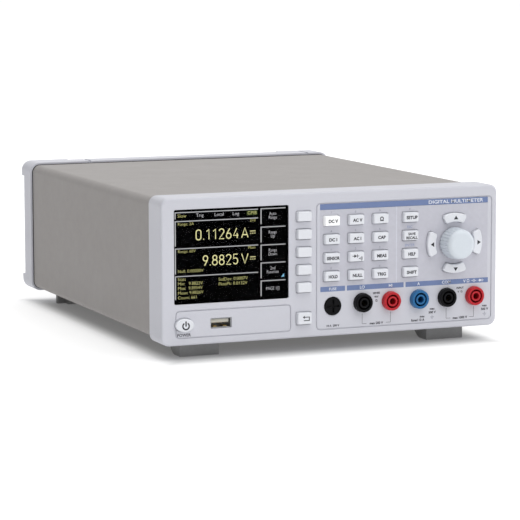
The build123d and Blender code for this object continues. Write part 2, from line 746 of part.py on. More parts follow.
with BuildPart() as front_board:
    board_x, board_z, board_width, board_height = FRONT_BOARD
    slab(board_x, board_z, (board_width, board_height), MAT_REAR, MAT_REAR + BOARD_THICKNESS)
    for index in range(len(SOCKET_NAMES)):
        rod(
            socket_x(index),
            SOCKET_Z,
            SOCKET_BODY + 2 * HOLE_CLEARANCE,
            MAT_REAR,
            MAT_REAR + BOARD_THICKNESS,
            mode=Mode.SUBTRACT,
        )
    rod(
        FUSE_X,
        FUSE_Z,
        FUSE_HOLDER_BODY + 2 * HOLE_CLEARANCE,
        MAT_REAR,
        MAT_REAR + BOARD_THICKNESS,
        mode=Mode.SUBTRACT,
    )
    slab(USB_X, USB_Z, usb_cutout, MAT_REAR, MAT_REAR + BOARD_THICKNESS, mode=Mode.SUBTRACT)
save(front_board, "front_board")

# Measuring sockets, their brass contacts and the blades of the mains inlet
for index, name in enumerate(SOCKET_NAMES):
    make_socket(name, socket_x(index))

with BuildPart() as socket_contacts:
    for index in range(len(SOCKET_NAMES)):
        x = socket_x(index)
        rod(x, SOCKET_Z, CONTACT_OUTER, CONTACT_FRONT, CONTACT_REAR)
        rod(x, SOCKET_Z, CONTACT_INNER, CONTACT_FRONT, CONTACT_BORE_REAR, mode=Mode.SUBTRACT)
        rod(x, SOCKET_Z, CONTACT_PIN, CONTACT_REAR, CONTACT_PIN_REAR)
    for x, z in INLET_PINS:
        slab(inlet_x + x, ENTRY_Z + z, INLET_PIN, inlet_floor, inlet_floor + INLET_PIN_LENGTH)
save(socket_contacts, "socket_contacts")

# Fuse holder, quarter-turn cap and the fuse link it draws out
with BuildPart() as fuse_holder:
    rod(FUSE_X, FUSE_Z, FUSE_HOLDER_BODY, PANEL_WALL, FUSE_HOLDER_REAR)
    rod(FUSE_X, FUSE_Z, FUSE_HOLDER_MOUTH, PANEL_WALL, FUSE_HOLDER_STEP, mode=Mode.SUBTRACT)
    rod(FUSE_X, FUSE_Z, FUSE_HOLDER_BORE, FUSE_HOLDER_STEP, FUSE_HOLDER_BORE_REAR, mode=Mode.SUBTRACT)
save(fuse_holder, "fuse_holder")

with BuildPart() as fuse_cap:
    rod(FUSE_X, FUSE_Z, FUSE_CAP, -FUSE_CAP_REACH, FUSE_CAP_REAR)
    fillet(foremost_edges(fuse_cap), FUSE_CAP_EDGE)
    rod(FUSE_X, FUSE_Z, FUSE_GRIP_OUTER, FUSE_CAP_REAR, FUSE_GRIP_REAR)
    rod(FUSE_X, FUSE_Z, FUSE_GRIP_INNER, FUSE_CAP_REAR, FUSE_GRIP_REAR, mode=Mode.SUBTRACT)
    for slot in (FUSE_SLOT, FUSE_SLOT[::-1]):
        slab(FUSE_X, FUSE_Z, slot, -FUSE_CAP_REACH, FUSE_SLOT_DEPTH - FUSE_CAP_REACH, mode=Mode.SUBTRACT)
save(fuse_cap, "fuse_cap")

with BuildPart() as fuse_link:
    rod(FUSE_X, FUSE_Z, FUSE_LINK, FUSE_LINK_FRONT, FUSE_LINK_FRONT + FUSE_LINK_BAND)
    rod(FUSE_X, FUSE_Z, FUSE_GLASS, FUSE_LINK_FRONT + FUSE_LINK_BAND, FUSE_LINK_REAR - FUSE_LINK_BAND)
    rod(FUSE_X, FUSE_Z, FUSE_LINK, FUSE_LINK_REAR - FUSE_LINK_BAND, FUSE_LINK_REAR)
save(fuse_link, "fuse_link")

# Front USB socket
with BuildPart() as usb_host_port:
    slab(USB_X, USB_Z, (USB_WIDTH, USB_HEIGHT), USB_FRONT, USB_REAR)
    usb_cavity = (USB_WIDTH - 2 * USB_WALL, USB_HEIGHT - 2 * USB_WALL)
    slab(USB_X, USB_Z, usb_cavity, USB_FRONT, USB_REAR - USB_BACK_WALL, mode=Mode.SUBTRACT)
    slab(USB_X, USB_Z + USB_TONGUE_RISE, USB_TONGUE, USB_TONGUE_FRONT, USB_REAR - USB_BACK_WALL)
save(usb_host_port, "usb_host_port")

# Painted metal sleeve around the body
with BuildPart() as case_sleeve:
    sleeve_outer = (CASE_WIDTH - 2 * SLEEVE_INSET, CASE_HEIGHT - 2 * SLEEVE_INSET)
    sleeve_inner = (sleeve_outer[0] - 2 * SLEEVE_WALL, sleeve_outer[1] - 2 * SLEEVE_WALL)
    slab(0, MID_Z, sleeve_outer, BEZEL_DEPTH, SLEEVE_REAR, SLEEVE_CORNER)
    slab(
        0,
        MID_Z,
        sleeve_inner,
        BEZEL_DEPTH,
        SLEEVE_REAR,
        SLEEVE_CORNER - SLEEVE_WALL,
        Mode.SUBTRACT,
    )
save(case_sleeve, "case_sleeve")

# Moulded rear frame with a bumper at each corner
with BuildPart() as rear_frame:
    frame_width = CASE_WIDTH - 2 * FRAME_INSET
    frame_height = CASE_HEIGHT - 2 * FRAME_INSET
    frame_front = SLEEVE_REAR + FRAME_SEAM
    slab(0, MID_Z, (frame_width, frame_height), frame_front, REAR_FACE, FRAME_CORNER)
    fillet(foremost_edges(rear_frame), FRAME_EDGE)
    with BuildSketch(upright(REAR_FACE)):
        with Locations((0, MID_Z)):
            RectangleRounded(frame_width, frame_height, FRAME_CORNER)
            Rectangle(frame_width, frame_height - 2 * BUMPER_HEIGHT, mode=Mode.SUBTRACT)
            Rectangle(frame_width - 2 * BUMPER_WIDTH, frame_height, mode=Mode.SUBTRACT)
    extrude(amount=REAR_FACE - CASE_DEPTH)
    bumper_faces = rear_frame.faces().filter_by(Axis.Y).sort_by(Axis.Y)[-4:]
    fillet(bumper_faces.edges(), BUMPER_ROUND)
    slab(0, MID_Z, FRAME_LIP, FRAME_LIP_FRONT, frame_front, FRAME_LIP_CORNER)
    for x in FRAME_GROOVES:
        groove_z = MID_Z + frame_height / 2 - FRAME_GROOVE_DEPTH / 2
        slab(x, groove_z, (FRAME_GROOVE_WIDTH, FRAME_GROOVE_DEPTH), frame_front, REAR_FACE, mode=Mode.SUBTRACT)
    slab(0, MID_Z, REAR_RECESS, FRAME_LIP_FRONT, PANEL_OUTER, BEZEL_WALL, Mode.SUBTRACT)
    slab(0, MID_Z, REAR_OPENING, PANEL_OUTER, REAR_FACE, BEZEL_WALL, Mode.SUBTRACT)
save(rear_frame, "rear_frame")

# Rear panel with the connector openings and cooling slots
with BuildPart() as rear_panel:
    slab(
        0,
        MID_Z,
        (REAR_RECESS[0] - 2 * REAR_PANEL_GAP, REAR_RECESS[1] - 2 * REAR_PANEL_GAP),
        PANEL_INNER,
        PANEL_OUTER,
        BEZEL_WALL,
    )
    entry_cutout = (ENTRY_BODY[0] + 2 * HOLE_CLEARANCE, ENTRY_BODY[1] + 2 * HOLE_CLEARANCE)
    slab(ENTRY_X, ENTRY_Z, entry_cutout, PANEL_INNER, PANEL_OUTER, mode=Mode.SUBTRACT)
    slab(INTERFACE_X, INTERFACE_Z, INTERFACE_WINDOW, PANEL_INNER, PANEL_OUTER, mode=Mode.SUBTRACT)
    rod(BNC_X, BNC_Z, BNC_THREAD + HOLE_CLEARANCE, PANEL_INNER, PANEL_OUTER, mode=Mode.SUBTRACT)
    for slot in range(VENT_COUNT):
        x = VENT_X + (slot - (VENT_COUNT - 1) / 2) * VENT_PITCH
        slab(x, VENT_Z, VENT_SLOT, PANEL_INNER, PANEL_OUTER, mode=Mode.SUBTRACT)
    for x, z in PANEL_SCREWS:
        rod(x, z, PANEL_SCREW_HOLE, PANEL_INNER, PANEL_OUTER, mode=Mode.SUBTRACT)
save(rear_panel, "rear_panel")

# Power entry module: the switch's housing, and the inlet's back block and four walls beside it
with BuildPart() as power_entry:
    slab(ENTRY_X, ENTRY_Z, ENTRY_FLANGE, PANEL_OUTER, entry_face, KEY_CORNER)
    slab(ENTRY_X, ENTRY_Z, ENTRY_BODY, ENTRY_BODY_FRONT, PANEL_OUTER)
    join_cut = (ENTRY_JOIN_GAP, ENTRY_FLANGE[1])
    slab(join_x, ENTRY_Z, join_cut, ENTRY_BODY_FRONT, entry_face, mode=Mode.SUBTRACT)
    with BuildSketch(upright(entry_face)) as inlet_outline:
        with Locations((inlet_x, ENTRY_Z)):
            Rectangle(*INLET_CAVITY)
        chamfer(inlet_outline.vertices().group_by(Axis.Y)[-1], INLET_CHAMFER)
    extrude(amount=INLET_CAVITY_DEPTH, mode=Mode.SUBTRACT)
    inlet_side = join_x - ENTRY_X + ENTRY_FLANGE[0] / 2
    inlet_middle = join_x - inlet_side / 2
    floor_cut = (inlet_side, ENTRY_FLANGE[1])
    slab(inlet_middle, ENTRY_Z, floor_cut, inlet_floor, inlet_floor + ENTRY_JOIN_GAP, mode=Mode.SUBTRACT)
    wall_cut = (inlet_side, ENTRY_JOIN_GAP)
    for side in (-1, 1):
        z = ENTRY_Z + side * (INLET_CAVITY[1] + ENTRY_JOIN_GAP) / 2
        slab(inlet_middle, z, wall_cut, inlet_floor, entry_face, mode=Mode.SUBTRACT)
    recess_floor = entry_face - ROCKER_RECESS_DEPTH
    slab(rocker_x, ENTRY_Z, ROCKER_RECESS, recess_floor, entry_face, mode=Mode.SUBTRACT)
    with BuildSketch(Plane.YZ.offset(rocker_x)):
        with Locations((FRONT_Y + PANEL_OUTER, FOOT_HEIGHT + ENTRY_Z)):
            Circle(ROCKER_PIN_HOLE / 2)
    extrude(amount=ROCKER_PIN_HOLE_SPAN / 2, both=True, mode=Mode.SUBTRACT)
save(power_entry, "power_entry")

with BuildPart() as mains_rocker:
    tilt = radians(ROCKER_TILT)
    rocker_plane = Plane(
        origin=(rocker_x, FRONT_Y + PANEL_OUTER, FOOT_HEIGHT + ENTRY_Z),
        x_dir=(0, cos(tilt), sin(tilt)),
        z_dir=(1, 0, 0),
    )
    with BuildSketch(rocker_plane):
        Polygon(*ROCKER_PROFILE, align=None)
    extrude(amount=ROCKER_WIDTH / 2, both=True)
    with BuildSketch(rocker_plane):
        Circle(ROCKER_PIN / 2)
    extrude(amount=ROCKER_PIN_SPAN / 2, both=True)
save(mains_rocker, "mains_rocker")

# Network and USB interface card
with BuildPart() as interface_module:
    plate_face = PANEL_OUTER + INTERFACE_THICKNESS
    lan_x = INTERFACE_X + LAN_OFFSET
    usb_b_x = INTERFACE_X + USB_B_OFFSET
    slab(INTERFACE_X, INTERFACE_Z, INTERFACE_PLATE, PANEL_OUTER, plate_face)
    slab(lan_x, INTERFACE_Z, LAN_SHELL, LAN_SHELL_FRONT, PANEL_OUTER)
    slab(lan_x, INTERFACE_Z, LAN_CAVITY, plate_face - LAN_CAVITY_DEPTH, plate_face, mode=Mode.SUBTRACT)
    slab(usb_b_x, INTERFACE_Z, USB_B_SHELL, LAN_SHELL_FRONT, PANEL_OUTER)
    usb_b_root = plate_face - USB_B_CAVITY_DEPTH
    slab(usb_b_x, INTERFACE_Z, USB_B_CAVITY, usb_b_root, plate_face, mode=Mode.SUBTRACT)
    slab(usb_b_x, INTERFACE_Z, USB_B_TONGUE, usb_b_root, plate_face)
save(interface_module, "interface_module")

# Trigger input connector
with BuildPart() as trigger_bnc:
    barrel_end = PANEL_OUTER + BNC_BARREL_LENGTH
    rod(BNC_X, BNC_Z, BNC_THREAD, BNC_REAR, PANEL_OUTER)
    rod(BNC_X, BNC_Z, BNC_FLANGE, PANEL_OUTER, PANEL_OUTER + BNC_FLANGE_THICKNESS)
    rod(BNC_X, BNC_Z, BNC_BARREL, PANEL_OUTER, barrel_end)
    with BuildSketch(Plane.YZ.offset(BNC_X)):
        with Locations((FRONT_Y + barrel_end - BNC_LUG_BACK, FOOT_HEIGHT + BNC_Z)):
            Circle(BNC_LUG / 2)
    extrude(amount=BNC_LUG_SPAN / 2, both=True)
    rod(BNC_X, BNC_Z, BNC_BORE, PANEL_OUTER, barrel_end, mode=Mode.SUBTRACT)
    rod(BNC_X, BNC_Z, BNC_PIN, PANEL_OUTER, barrel_end - BNC_FLANGE_THICKNESS)
    rod(BNC_X, BNC_Z, BNC_PIN_BORE, PANEL_OUTER, barrel_end, mode=Mode.SUBTRACT)
save(trigger_bnc, "trigger_bnc")

# Four feet: the front pair carry the tilt legs in an open channel, the rear pair step in
# from a full-width plate at their rear end
with BuildPart() as case_feet:
    for x in (-FOOT_X, FOOT_X):
        foot_block(x, FOOT_WIDTH, FOOT_FRONT, 1, BEZEL_DEPTH - FOOT_FRONT)
        channel_length = FOOT_LENGTH - FOOT_CHANNEL_START
        channel_middle = FOOT_FRONT + FOOT_CHANNEL_START + channel_length / 2
        channel = (FOOT_CHANNEL, channel_length)
        deck(x, channel_middle, channel, -FOOT_HEIGHT, FOOT_CHANNEL_TOP - FOOT_HEIGHT, Mode.SUBTRACT)
        with BuildSketch(Plane.YZ.offset(x)):
            with Locations((FRONT_Y + LEG_PIVOT_DEPTH, LEG_PIVOT_Z)):
                Circle(LEG_PIN / 2 + LEG_PIN_CLEARANCE)
        extrude(amount=LEG_PIN_REACH + LEG_PIN_CLEARANCE, both=True, mode=Mode.SUBTRACT)
        narrow = x - copysign(FOOT_REAR_INSET / 2, x)
        foot_block(narrow, FOOT_WIDTH - FOOT_REAR_INSET, FOOT_REAR_END, -1, 0)
        plate_middle = FOOT_REAR_END - FOOT_REAR_PLATE / 2
        deck(x, plate_middle, (FOOT_WIDTH, FOOT_REAR_PLATE), -FOOT_HEIGHT, SLEEVE_INSET)
    for depth in (FOOT_FRONT + FOOT_SCREW_OFFSET, FOOT_REAR_END - FOOT_SCREW_OFFSET):
        for x in (-FOOT_X, FOOT_X):
            sink_top = FOOT_SCREW_SINK + FOOT_SCREW_HEAD_HEIGHT - FOOT_HEIGHT
            post(x, depth, FOOT_SCREW_BORE, -FOOT_HEIGHT, sink_top, Mode.SUBTRACT)
            post(x, depth, FOOT_SCREW_HOLE, sink_top, SLEEVE_INSET, Mode.SUBTRACT)
save(case_feet, "case_feet")

make_leg("tilt_leg_left", -FOOT_X)
make_leg("tilt_leg_right", FOOT_X)

# Screws in the rear panel and in the feet
with BuildPart() as case_screws:
    for x, z in PANEL_SCREWS:
        screw(
            x,
            z,
            PANEL_SCREW_HEAD,
            PANEL_SCREW_HEAD_HEIGHT,
            PANEL_SCREW_SHANK,
            PANEL_OUTER,
            PANEL_SCREW_REACH,
        )
    head_low = FOOT_SCREW_SINK - FOOT_HEIGHT
    head_high = head_low + FOOT_SCREW_HEAD_HEIGHT
    for depth in (FOOT_FRONT + FOOT_SCREW_OFFSET, FOOT_REAR_END - FOOT_SCREW_OFFSET):
        for x in (-FOOT_X, FOOT_X):
            post(x, depth, FOOT_SCREW_HEAD, head_low, head_high)
            post(x, depth, FOOT_SCREW_SHANK, head_high, FOOT_SCREW_TOP - FOOT_HEIGHT)
            deck(x, depth, CROSS_SLOT, head_low, head_low + CROSS_DEPTH, Mode.SUBTRACT)
            deck(x, depth, CROSS_SLOT[::-1], head_low, head_low + CROSS_DEPTH, Mode.SUBTRACT)
save(case_screws, "case_screws")

# Sheet-metal tray that carries the boards
tray_length = TRAY_REAR - TRAY_FRONT
tray_middle = (TRAY_REAR + TRAY_FRONT) / 2
tray_top = SLEEVE_FLOOR + TRAY_THICKNESS
with BuildPart() as chassis_tray:
    deck(0, tray_middle, (TRAY_WIDTH, tray_length), SLEEVE_FLOOR, tray_top)
    for side in (-1, 1):
        flange_x = side * (TRAY_WIDTH - TRAY_THICKNESS) / 2
        deck(flange_x, tray_middle, (TRAY_THICKNESS, tray_length), tray_top, SLEEVE_FLOOR + TRAY_FLANGE)
    for x, depth in STANDOFFS:
        post(x, depth, STANDOFF_DIAMETER, tray_top, BOARD_DECK)
save(chassis_tray, "chassis_tray")

# Measuring board with its larger components
board_top = BOARD_DECK + BOARD_THICKNESS
with BuildPart() as main_board:
    deck(MAIN_BOARD[0], MAIN_BOARD[1], MAIN_BOARD[2:], BOARD_DECK, board_top)
    for x, depth, diameter, height in CAPACITORS:
        post(x, depth, diameter, board_top, board_top + height)
    for x, depth in RELAYS:
        deck(x, depth, RELAY_SIZE[:2], board_top, board_top + RELAY_SIZE[2])
    for x, depth, size in CHIPS:
        deck(x, depth, (size, size), board_top, board_top + CHIP_HEIGHT)
save(main_board, "main_board")

with BuildPart() as shield_can:
    shield_x, shield_depth, shield_width, shield_length = SHIELD
    deck(shield_x, shield_depth, (shield_width, shield_length), board_top, board_top + SHIELD_HEIGHT)
    inside = (shield_width - 2 * SHIELD_WALL, shield_length - 2 * SHIELD_WALL)
    shield_under = board_top + SHIELD_HEIGHT - SHIELD_WALL
    deck(shield_x, shield_depth, inside, board_top, shield_under, Mode.SUBTRACT)
save(shield_can, "shield_can")

with BuildPart() as mains_transformer:
    base = tray_top + TRANSFORMER_FEET[2]
    core_width, core_length, core_height = TRANSFORMER_CORE
    coil_width, coil_length, coil_height = TRANSFORMER_COIL
    coil_low = base + (core_height - coil_height) / 2
    deck(TRANSFORMER_X, TRANSFORMER_DEPTH, TRANSFORMER_FEET[:2], tray_top, base)
    deck(TRANSFORMER_X, TRANSFORMER_DEPTH, (core_width, core_length), base, base + core_height)
    deck(TRANSFORMER_X, TRANSFORMER_DEPTH, (coil_width, coil_length), coil_low, coil_low + coil_height)
save(mains_transformer, "mains_transformer")
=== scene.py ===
"""Looks for the half-rack bench multimeter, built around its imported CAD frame.

Metres, +Z up, the front panel faces -Y. Flat artwork is laid out in panel coordinates: x in mm
from the middle and z in mm above the case bottom, from the boxes of the CAD nodes.
"""

import json
import math

import bmesh
import bpy
from mathutils import Matrix, Vector


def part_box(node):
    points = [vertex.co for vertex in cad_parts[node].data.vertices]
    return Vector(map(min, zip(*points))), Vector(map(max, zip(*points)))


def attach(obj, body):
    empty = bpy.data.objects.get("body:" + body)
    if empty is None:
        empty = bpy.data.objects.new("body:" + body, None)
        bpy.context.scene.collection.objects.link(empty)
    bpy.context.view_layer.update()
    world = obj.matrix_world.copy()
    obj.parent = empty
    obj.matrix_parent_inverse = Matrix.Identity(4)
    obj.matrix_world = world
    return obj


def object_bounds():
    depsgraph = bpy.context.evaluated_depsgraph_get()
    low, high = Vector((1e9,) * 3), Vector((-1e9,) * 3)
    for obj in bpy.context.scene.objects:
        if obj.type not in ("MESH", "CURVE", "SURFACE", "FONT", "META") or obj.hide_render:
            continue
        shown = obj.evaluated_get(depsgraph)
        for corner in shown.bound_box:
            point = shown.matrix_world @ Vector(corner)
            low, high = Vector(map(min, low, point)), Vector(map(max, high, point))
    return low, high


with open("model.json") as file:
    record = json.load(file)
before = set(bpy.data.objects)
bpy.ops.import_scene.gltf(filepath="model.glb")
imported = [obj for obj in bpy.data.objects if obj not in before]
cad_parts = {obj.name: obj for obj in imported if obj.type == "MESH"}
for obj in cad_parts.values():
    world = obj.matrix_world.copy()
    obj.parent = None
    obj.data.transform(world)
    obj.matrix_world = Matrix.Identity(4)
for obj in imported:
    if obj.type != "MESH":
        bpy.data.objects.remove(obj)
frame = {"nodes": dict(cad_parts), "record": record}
cad_low, cad_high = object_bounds()
NODES = frame["nodes"]
MM = 0.001

# ---------------------------------------------------------------- places read from the frame
bezel_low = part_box("front_bezel")[0]
FRONT = bezel_low.y
BASE = bezel_low.z
PRINT_GAP = 0.012 * MM
PRINT_THICKNESS = 0.02 * MM
LETTER_WELD = 0.0001 * MM


def middle(node):
    """Middle of a CAD node's box."""
    low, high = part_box(node)
    return (low + high) / 2


def up(height):
    """World height of a point measured in mm from the case bottom."""
    return BASE + height * MM


# ---------------------------------------------------------------- materials
BROAD_SCALE = 38.0
SPECK_SHARE = 0.31
WEAR_RADIUS = 0.35 * MM
WEAR_BRIGHTNESS = 1.35
COAT_ROUGHNESS = 0.12
INK_ROUGHNESS = 0.55
INK_VARIATION = 0.03
DOT_PITCH = 0.22 * MM
PURE_WHITE = (1.0, 1.0, 1.0, 1.0)


def new_material(name):
    """Empty node material with one principled shader."""
    material = bpy.data.materials.new(name)
    material.use_nodes = True
    nodes = material.node_tree.nodes
    nodes.clear()
    output = nodes.new("ShaderNodeOutputMaterial")
    shader = nodes.new("ShaderNodeBsdfPrincipled")
    material.node_tree.links.new(shader.outputs["BSDF"], output.inputs["Surface"])
    return material, nodes, material.node_tree.links, shader


def object_coords(nodes):
    return nodes.new("ShaderNodeTexCoord").outputs["Object"]


def noise(nodes, links, coords, scale, detail=3.0, roughness=0.55):
    """Noise of about 0.3 to 0.7."""
    node = nodes.new("ShaderNodeTexNoise")
    node.inputs["Scale"].default_value = scale
    node.inputs["Detail"].default_value = detail
    node.inputs["Roughness"].default_value = roughness
    links.new(coords, node.inputs["Vector"])
    return node.outputs["Fac"]


def ramp(nodes, links, source, low, high, start=0.0, end=1.0):
    """Colour ramp between two colours."""
    node = nodes.new("ShaderNodeValToRGB")
    node.color_ramp.elements[0].position = start
    node.color_ramp.elements[1].position = end
    node.color_ramp.elements[0].color = (*low, 1.0)
    node.color_ramp.elements[1].color = (*high, 1.0)
    links.new(source, node.inputs["Fac"])
    return node.outputs["Color"]


def spread(nodes, links, source, low, high, start=0.3, end=0.7, smooth=False):
    """Maps a number between start and end to one between low and high."""
    node = nodes.new("ShaderNodeMapRange")
    if smooth:
        node.interpolation_type = "SMOOTHSTEP"
    node.inputs["From Min"].default_value = start
    node.inputs["From Max"].default_value = end
    node.inputs["To Min"].default_value = low
    node.inputs["To Max"].default_value = high
    links.new(source, node.inputs["Value"])
    return node.outputs["Result"]


def maths(nodes, links, operation, *sources):
    """Math node whose inputs are sockets or plain numbers."""
    node = nodes.new("ShaderNodeMath")
    node.operation = operation
    for socket, source in zip(node.inputs, sources):
        if isinstance(source, float):
            socket.default_value = source
        else:
            links.new(source, socket)
    return node.outputs["Value"]


def bump_map(nodes, links, height, depth, strength, normal=None):
    """Bump of a height between 0 and 1, depth metres deep, on top of another normal if given."""
    node = nodes.new("ShaderNodeBump")
    node.inputs["Strength"].default_value = strength
    node.inputs["Distance"].default_value = depth
    links.new(height, node.inputs["Height"])
    if normal is not None:
        links.new(normal, node.inputs["Normal"])
    return node.outputs["Normal"]


def shade(colour, factor):
    return tuple(min(1.0, c * factor) for c in colour)


def worn_edges(nodes, links, surface, speck, colour, amount):
    """Brightens a surface colour along its edges; also gives the rounded normal."""
    rounded = nodes.new("ShaderNodeBevel")
    rounded.samples = 4
    rounded.inputs["Radius"].default_value = WEAR_RADIUS
    geometry = nodes.new("ShaderNodeNewGeometry")
    dot = nodes.new("ShaderNodeVectorMath")
    dot.operation = "DOT_PRODUCT"
    links.new(rounded.outputs["Normal"], dot.inputs[0])
    links.new(geometry.outputs["Normal"], dot.inputs[1])
    mask = spread(nodes, links, dot.outputs["Value"], 0.0, amount, 0.995, 0.8)
    worn = maths(nodes, links, "MULTIPLY", mask, spread(nodes, links, speck, 0.3, 1.0))
    wear = nodes.new("ShaderNodeMix")
    wear.data_type = "RGBA"
    links.new(worn, wear.inputs["Factor"])
    links.new(surface, wear.inputs["A"])
    wear.inputs["B"].default_value = (*shade(colour, WEAR_BRIGHTNESS), 1.0)
    return wear.outputs["Result"], rounded.outputs["Normal"]


def moulded(
    name,
    colour,
    roughness,
    grain,
    grain_depth,
    variation,
    edge,
    metallic=0.0,
    coat=0.0,
    specular=0.5,
    wave_depth=0.0,
    glow=0.0,
):
    """Moulded, painted or metal surface with grain, patchy gloss and lightly worn edges.

    grain is the scale of the finest noise, grain_depth and wave_depth are in mm, variation is
    how far the colour strays and edge how far it brightens along the edges.
    """
    material, nodes, links, shader = new_material(name)
    coords = object_coords(nodes)
    broad = noise(nodes, links, coords, BROAD_SCALE, 4.0)
    fine = noise(nodes, links, coords, grain, 2.0, 0.6)
    speck = noise(nodes, links, coords, grain * SPECK_SHARE, 5.0, 0.7)
    bright = shade(colour, 1 + variation)
    tone = ramp(nodes, links, broad, shade(colour, 1 - variation), bright, 0.3, 0.7)
    fleck = ramp(nodes, links, speck, shade(colour, 1 - 1.6 * variation), bright, 0.35, 0.65)
    mix = nodes.new("ShaderNodeMix")
    mix.data_type = "RGBA"
    mix.inputs["Factor"].default_value = 0.5
    links.new(tone, mix.inputs["A"])
    links.new(fleck, mix.inputs["B"])
    surface = mix.outputs["Result"]
    normal = None
    if edge > 0:
        surface, normal = worn_edges(nodes, links, surface, speck, colour, edge)
    links.new(surface, shader.inputs["Base Color"])
    gloss = spread(nodes, links, broad, roughness * 0.88, min(1.0, roughness * 1.12))
    links.new(gloss, shader.inputs["Roughness"])
    normal = bump_map(nodes, links, fine, grain_depth * MM, 0.6, normal)
    if wave_depth > 0:
        normal = bump_map(nodes, links, speck, wave_depth * MM, 0.5, normal)
    links.new(normal, shader.inputs["Normal"])
    shader.inputs["Metallic"].default_value = metallic
    shader.inputs["Coat Weight"].default_value = coat
    shader.inputs["Coat Roughness"].default_value = COAT_ROUGHNESS
    shader.inputs["Specular IOR Level"].default_value = specular
    if glow > 0:
        shader.inputs["Emission Color"].default_value = PURE_WHITE
        shader.inputs["Emission Strength"].default_value = glow
    return material


def printed(name, colour):
    """Silk-screened ink: faintly uneven, with a fine grain of its own."""
    material, nodes, links, shader = new_material(name)
    coords = object_coords(nodes)
    patch = noise(nodes, links, coords, 420.0, 4.0)
    low, high = shade(colour, 1 - INK_VARIATION), shade(colour, 1 + INK_VARIATION)
    links.new(ramp(nodes, links, patch, low, high, 0.3, 0.7), shader.inputs["Base Color"])
    gloss = spread(nodes, links, patch, INK_ROUGHNESS * 0.9, INK_ROUGHNESS * 1.1)
    links.new(gloss, shader.inputs["Roughness"])
    grain = noise(nodes, links, coords, 2200.0)
    links.new(bump_map(nodes, links, grain, 0.006 * MM, 0.3), shader.inputs["Normal"])
    return material


def glowing(name, colour, strength):
    """Lit display pixels: emission with the faint grid of the panel's dots."""
    material, nodes, links, shader = new_material(name)
    coords = object_coords(nodes)
    waves = []
    for axis in ("X", "Z"):
        wave = nodes.new("ShaderNodeTexWave")
        wave.bands_direction = axis
        wave.inputs["Scale"].default_value = 0.314 / DOT_PITCH
        links.new(coords, wave.inputs["Vector"])
        waves.append(wave.outputs["Fac"])
    grid = maths(nodes, links, "MINIMUM", *waves)
    level = ramp(nodes, links, grid, shade(colour, 0.8), colour, 0.0, 0.35)
    links.new(level, shader.inputs["Emission Color"])
    shader.inputs["Emission Strength"].default_value = strength
    shader.inputs["Base Color"].default_value = (0.01, 0.01, 0.01, 1.0)
    shader.inputs["Roughness"].default_value = 0.6
    shader.inputs["Specular IOR Level"].default_value = 0.05
    return material


def clear(name, tint, roughness, refraction):
    """Clear pane: lets the light through, with a thin gloss and faint smears."""
    material, nodes, links, shader = new_material(name)
    smear = noise(nodes, links, object_coords(nodes), 60.0, 5.0, 0.7)
    gloss = spread(nodes, links, smear, roughness, roughness + 0.05)
    links.new(gloss, shader.inputs["Roughness"])
    shader.inputs["Base Color"].default_value = (*tint, 1.0)
    shader.inputs["Transmission Weight"].default_value = 1.0
    shader.inputs["IOR"].default_value = refraction
    return material


def laminated(name, colour):
    """Stacked sheet: thin layers with slight colour steps."""
    material, nodes, links, shader = new_material(name)
    wave = nodes.new("ShaderNodeTexWave")
    wave.bands_direction = "Y"
    wave.inputs["Scale"].default_value = 500.0
    wave.inputs["Distortion"].default_value = 0.4
    links.new(object_coords(nodes), wave.inputs["Vector"])
    layers = wave.outputs["Fac"]
    tone = ramp(nodes, links, layers, shade(colour, 0.6), shade(colour, 1.3))
    links.new(tone, shader.inputs["Base Color"])
    links.new(bump_map(nodes, links, layers, 0.05 * MM, 1.0), shader.inputs["Normal"])
    links.new(spread(nodes, links, layers, 0.35, 0.6), shader.inputs["Roughness"])
    shader.inputs["Metallic"].default_value = 0.6
    return material


# Colour, roughness, grain scale, grain depth in mm, colour variation, edge wear and the rest.
SURFACES = {
    "bezel_plastic": ((0.585, 0.59, 0.645), 0.5, 1500.0, 0.01, 0.012, 0.10, {}),
    "sleeve_paint": (
        *((0.345, 0.327, 0.318), 0.62, 520.0, 0.06, 0.035, 0.10),
        {"specular": 0.25, "wave_depth": 0.06},
    ),
    "key_plastic": ((0.74, 0.755, 0.80), 0.38, 1800.0, 0.006, 0.01, 0.06, {}),
    "knob_plastic": ((0.66, 0.71, 0.765), 0.42, 1700.0, 0.008, 0.015, 0.08, {}),
    "foot_plastic": ((0.30, 0.30, 0.30), 0.6, 1200.0, 0.03, 0.06, 0.10, {"specular": 0.2}),
    "mat_rubber": ((0.30, 0.30, 0.31), 0.75, 1400.0, 0.02, 0.04, 0.0, {}),
    "circuit_board": ((0.02, 0.13, 0.06), 0.35, 900.0, 0.01, 0.15, 0.0, {"coat": 0.3}),
    "dark_plastic": ((0.02, 0.02, 0.022), 0.45, 1300.0, 0.015, 0.08, 0.1, {"specular": 0.2}),
    "steel": ((0.50, 0.51, 0.52), 0.34, 900.0, 0.01, 0.05, 0.2, {"metallic": 1.0}),
    "black_plastic": ((0.005, 0.005, 0.006), 0.36, 1500.0, 0.012, 0.08, 0.35, {"specular": 0.09}),
    "red_plastic": ((0.47, 0.009, 0.018), 0.3, 1500.0, 0.01, 0.05, 0.25, {"specular": 0.3}),
    "blue_plastic": ((0.014, 0.125, 0.31), 0.3, 1500.0, 0.01, 0.05, 0.25, {"specular": 0.3}),
    "contact_brass": ((0.66, 0.47, 0.19), 0.28, 900.0, 0.01, 0.06, 0.2, {"metallic": 1.0}),
    "chrome_metal": ((0.72, 0.72, 0.70), 0.16, 700.0, 0.006, 0.05, 0.2, {"metallic": 1.0}),
    "display_black": ((0.0012, 0.0012, 0.0017), 0.4, 1800.0, 0.002, 0.1, 0.0, {"specular": 0.01}),
}
MATERIALS = {name: moulded(name, *values, **rest) for name, (*values, rest) in SURFACES.items()}
MATERIALS["fuse_glass"] = clear("fuse_glass", (0.9, 0.93, 0.9), 0.05, 1.3)
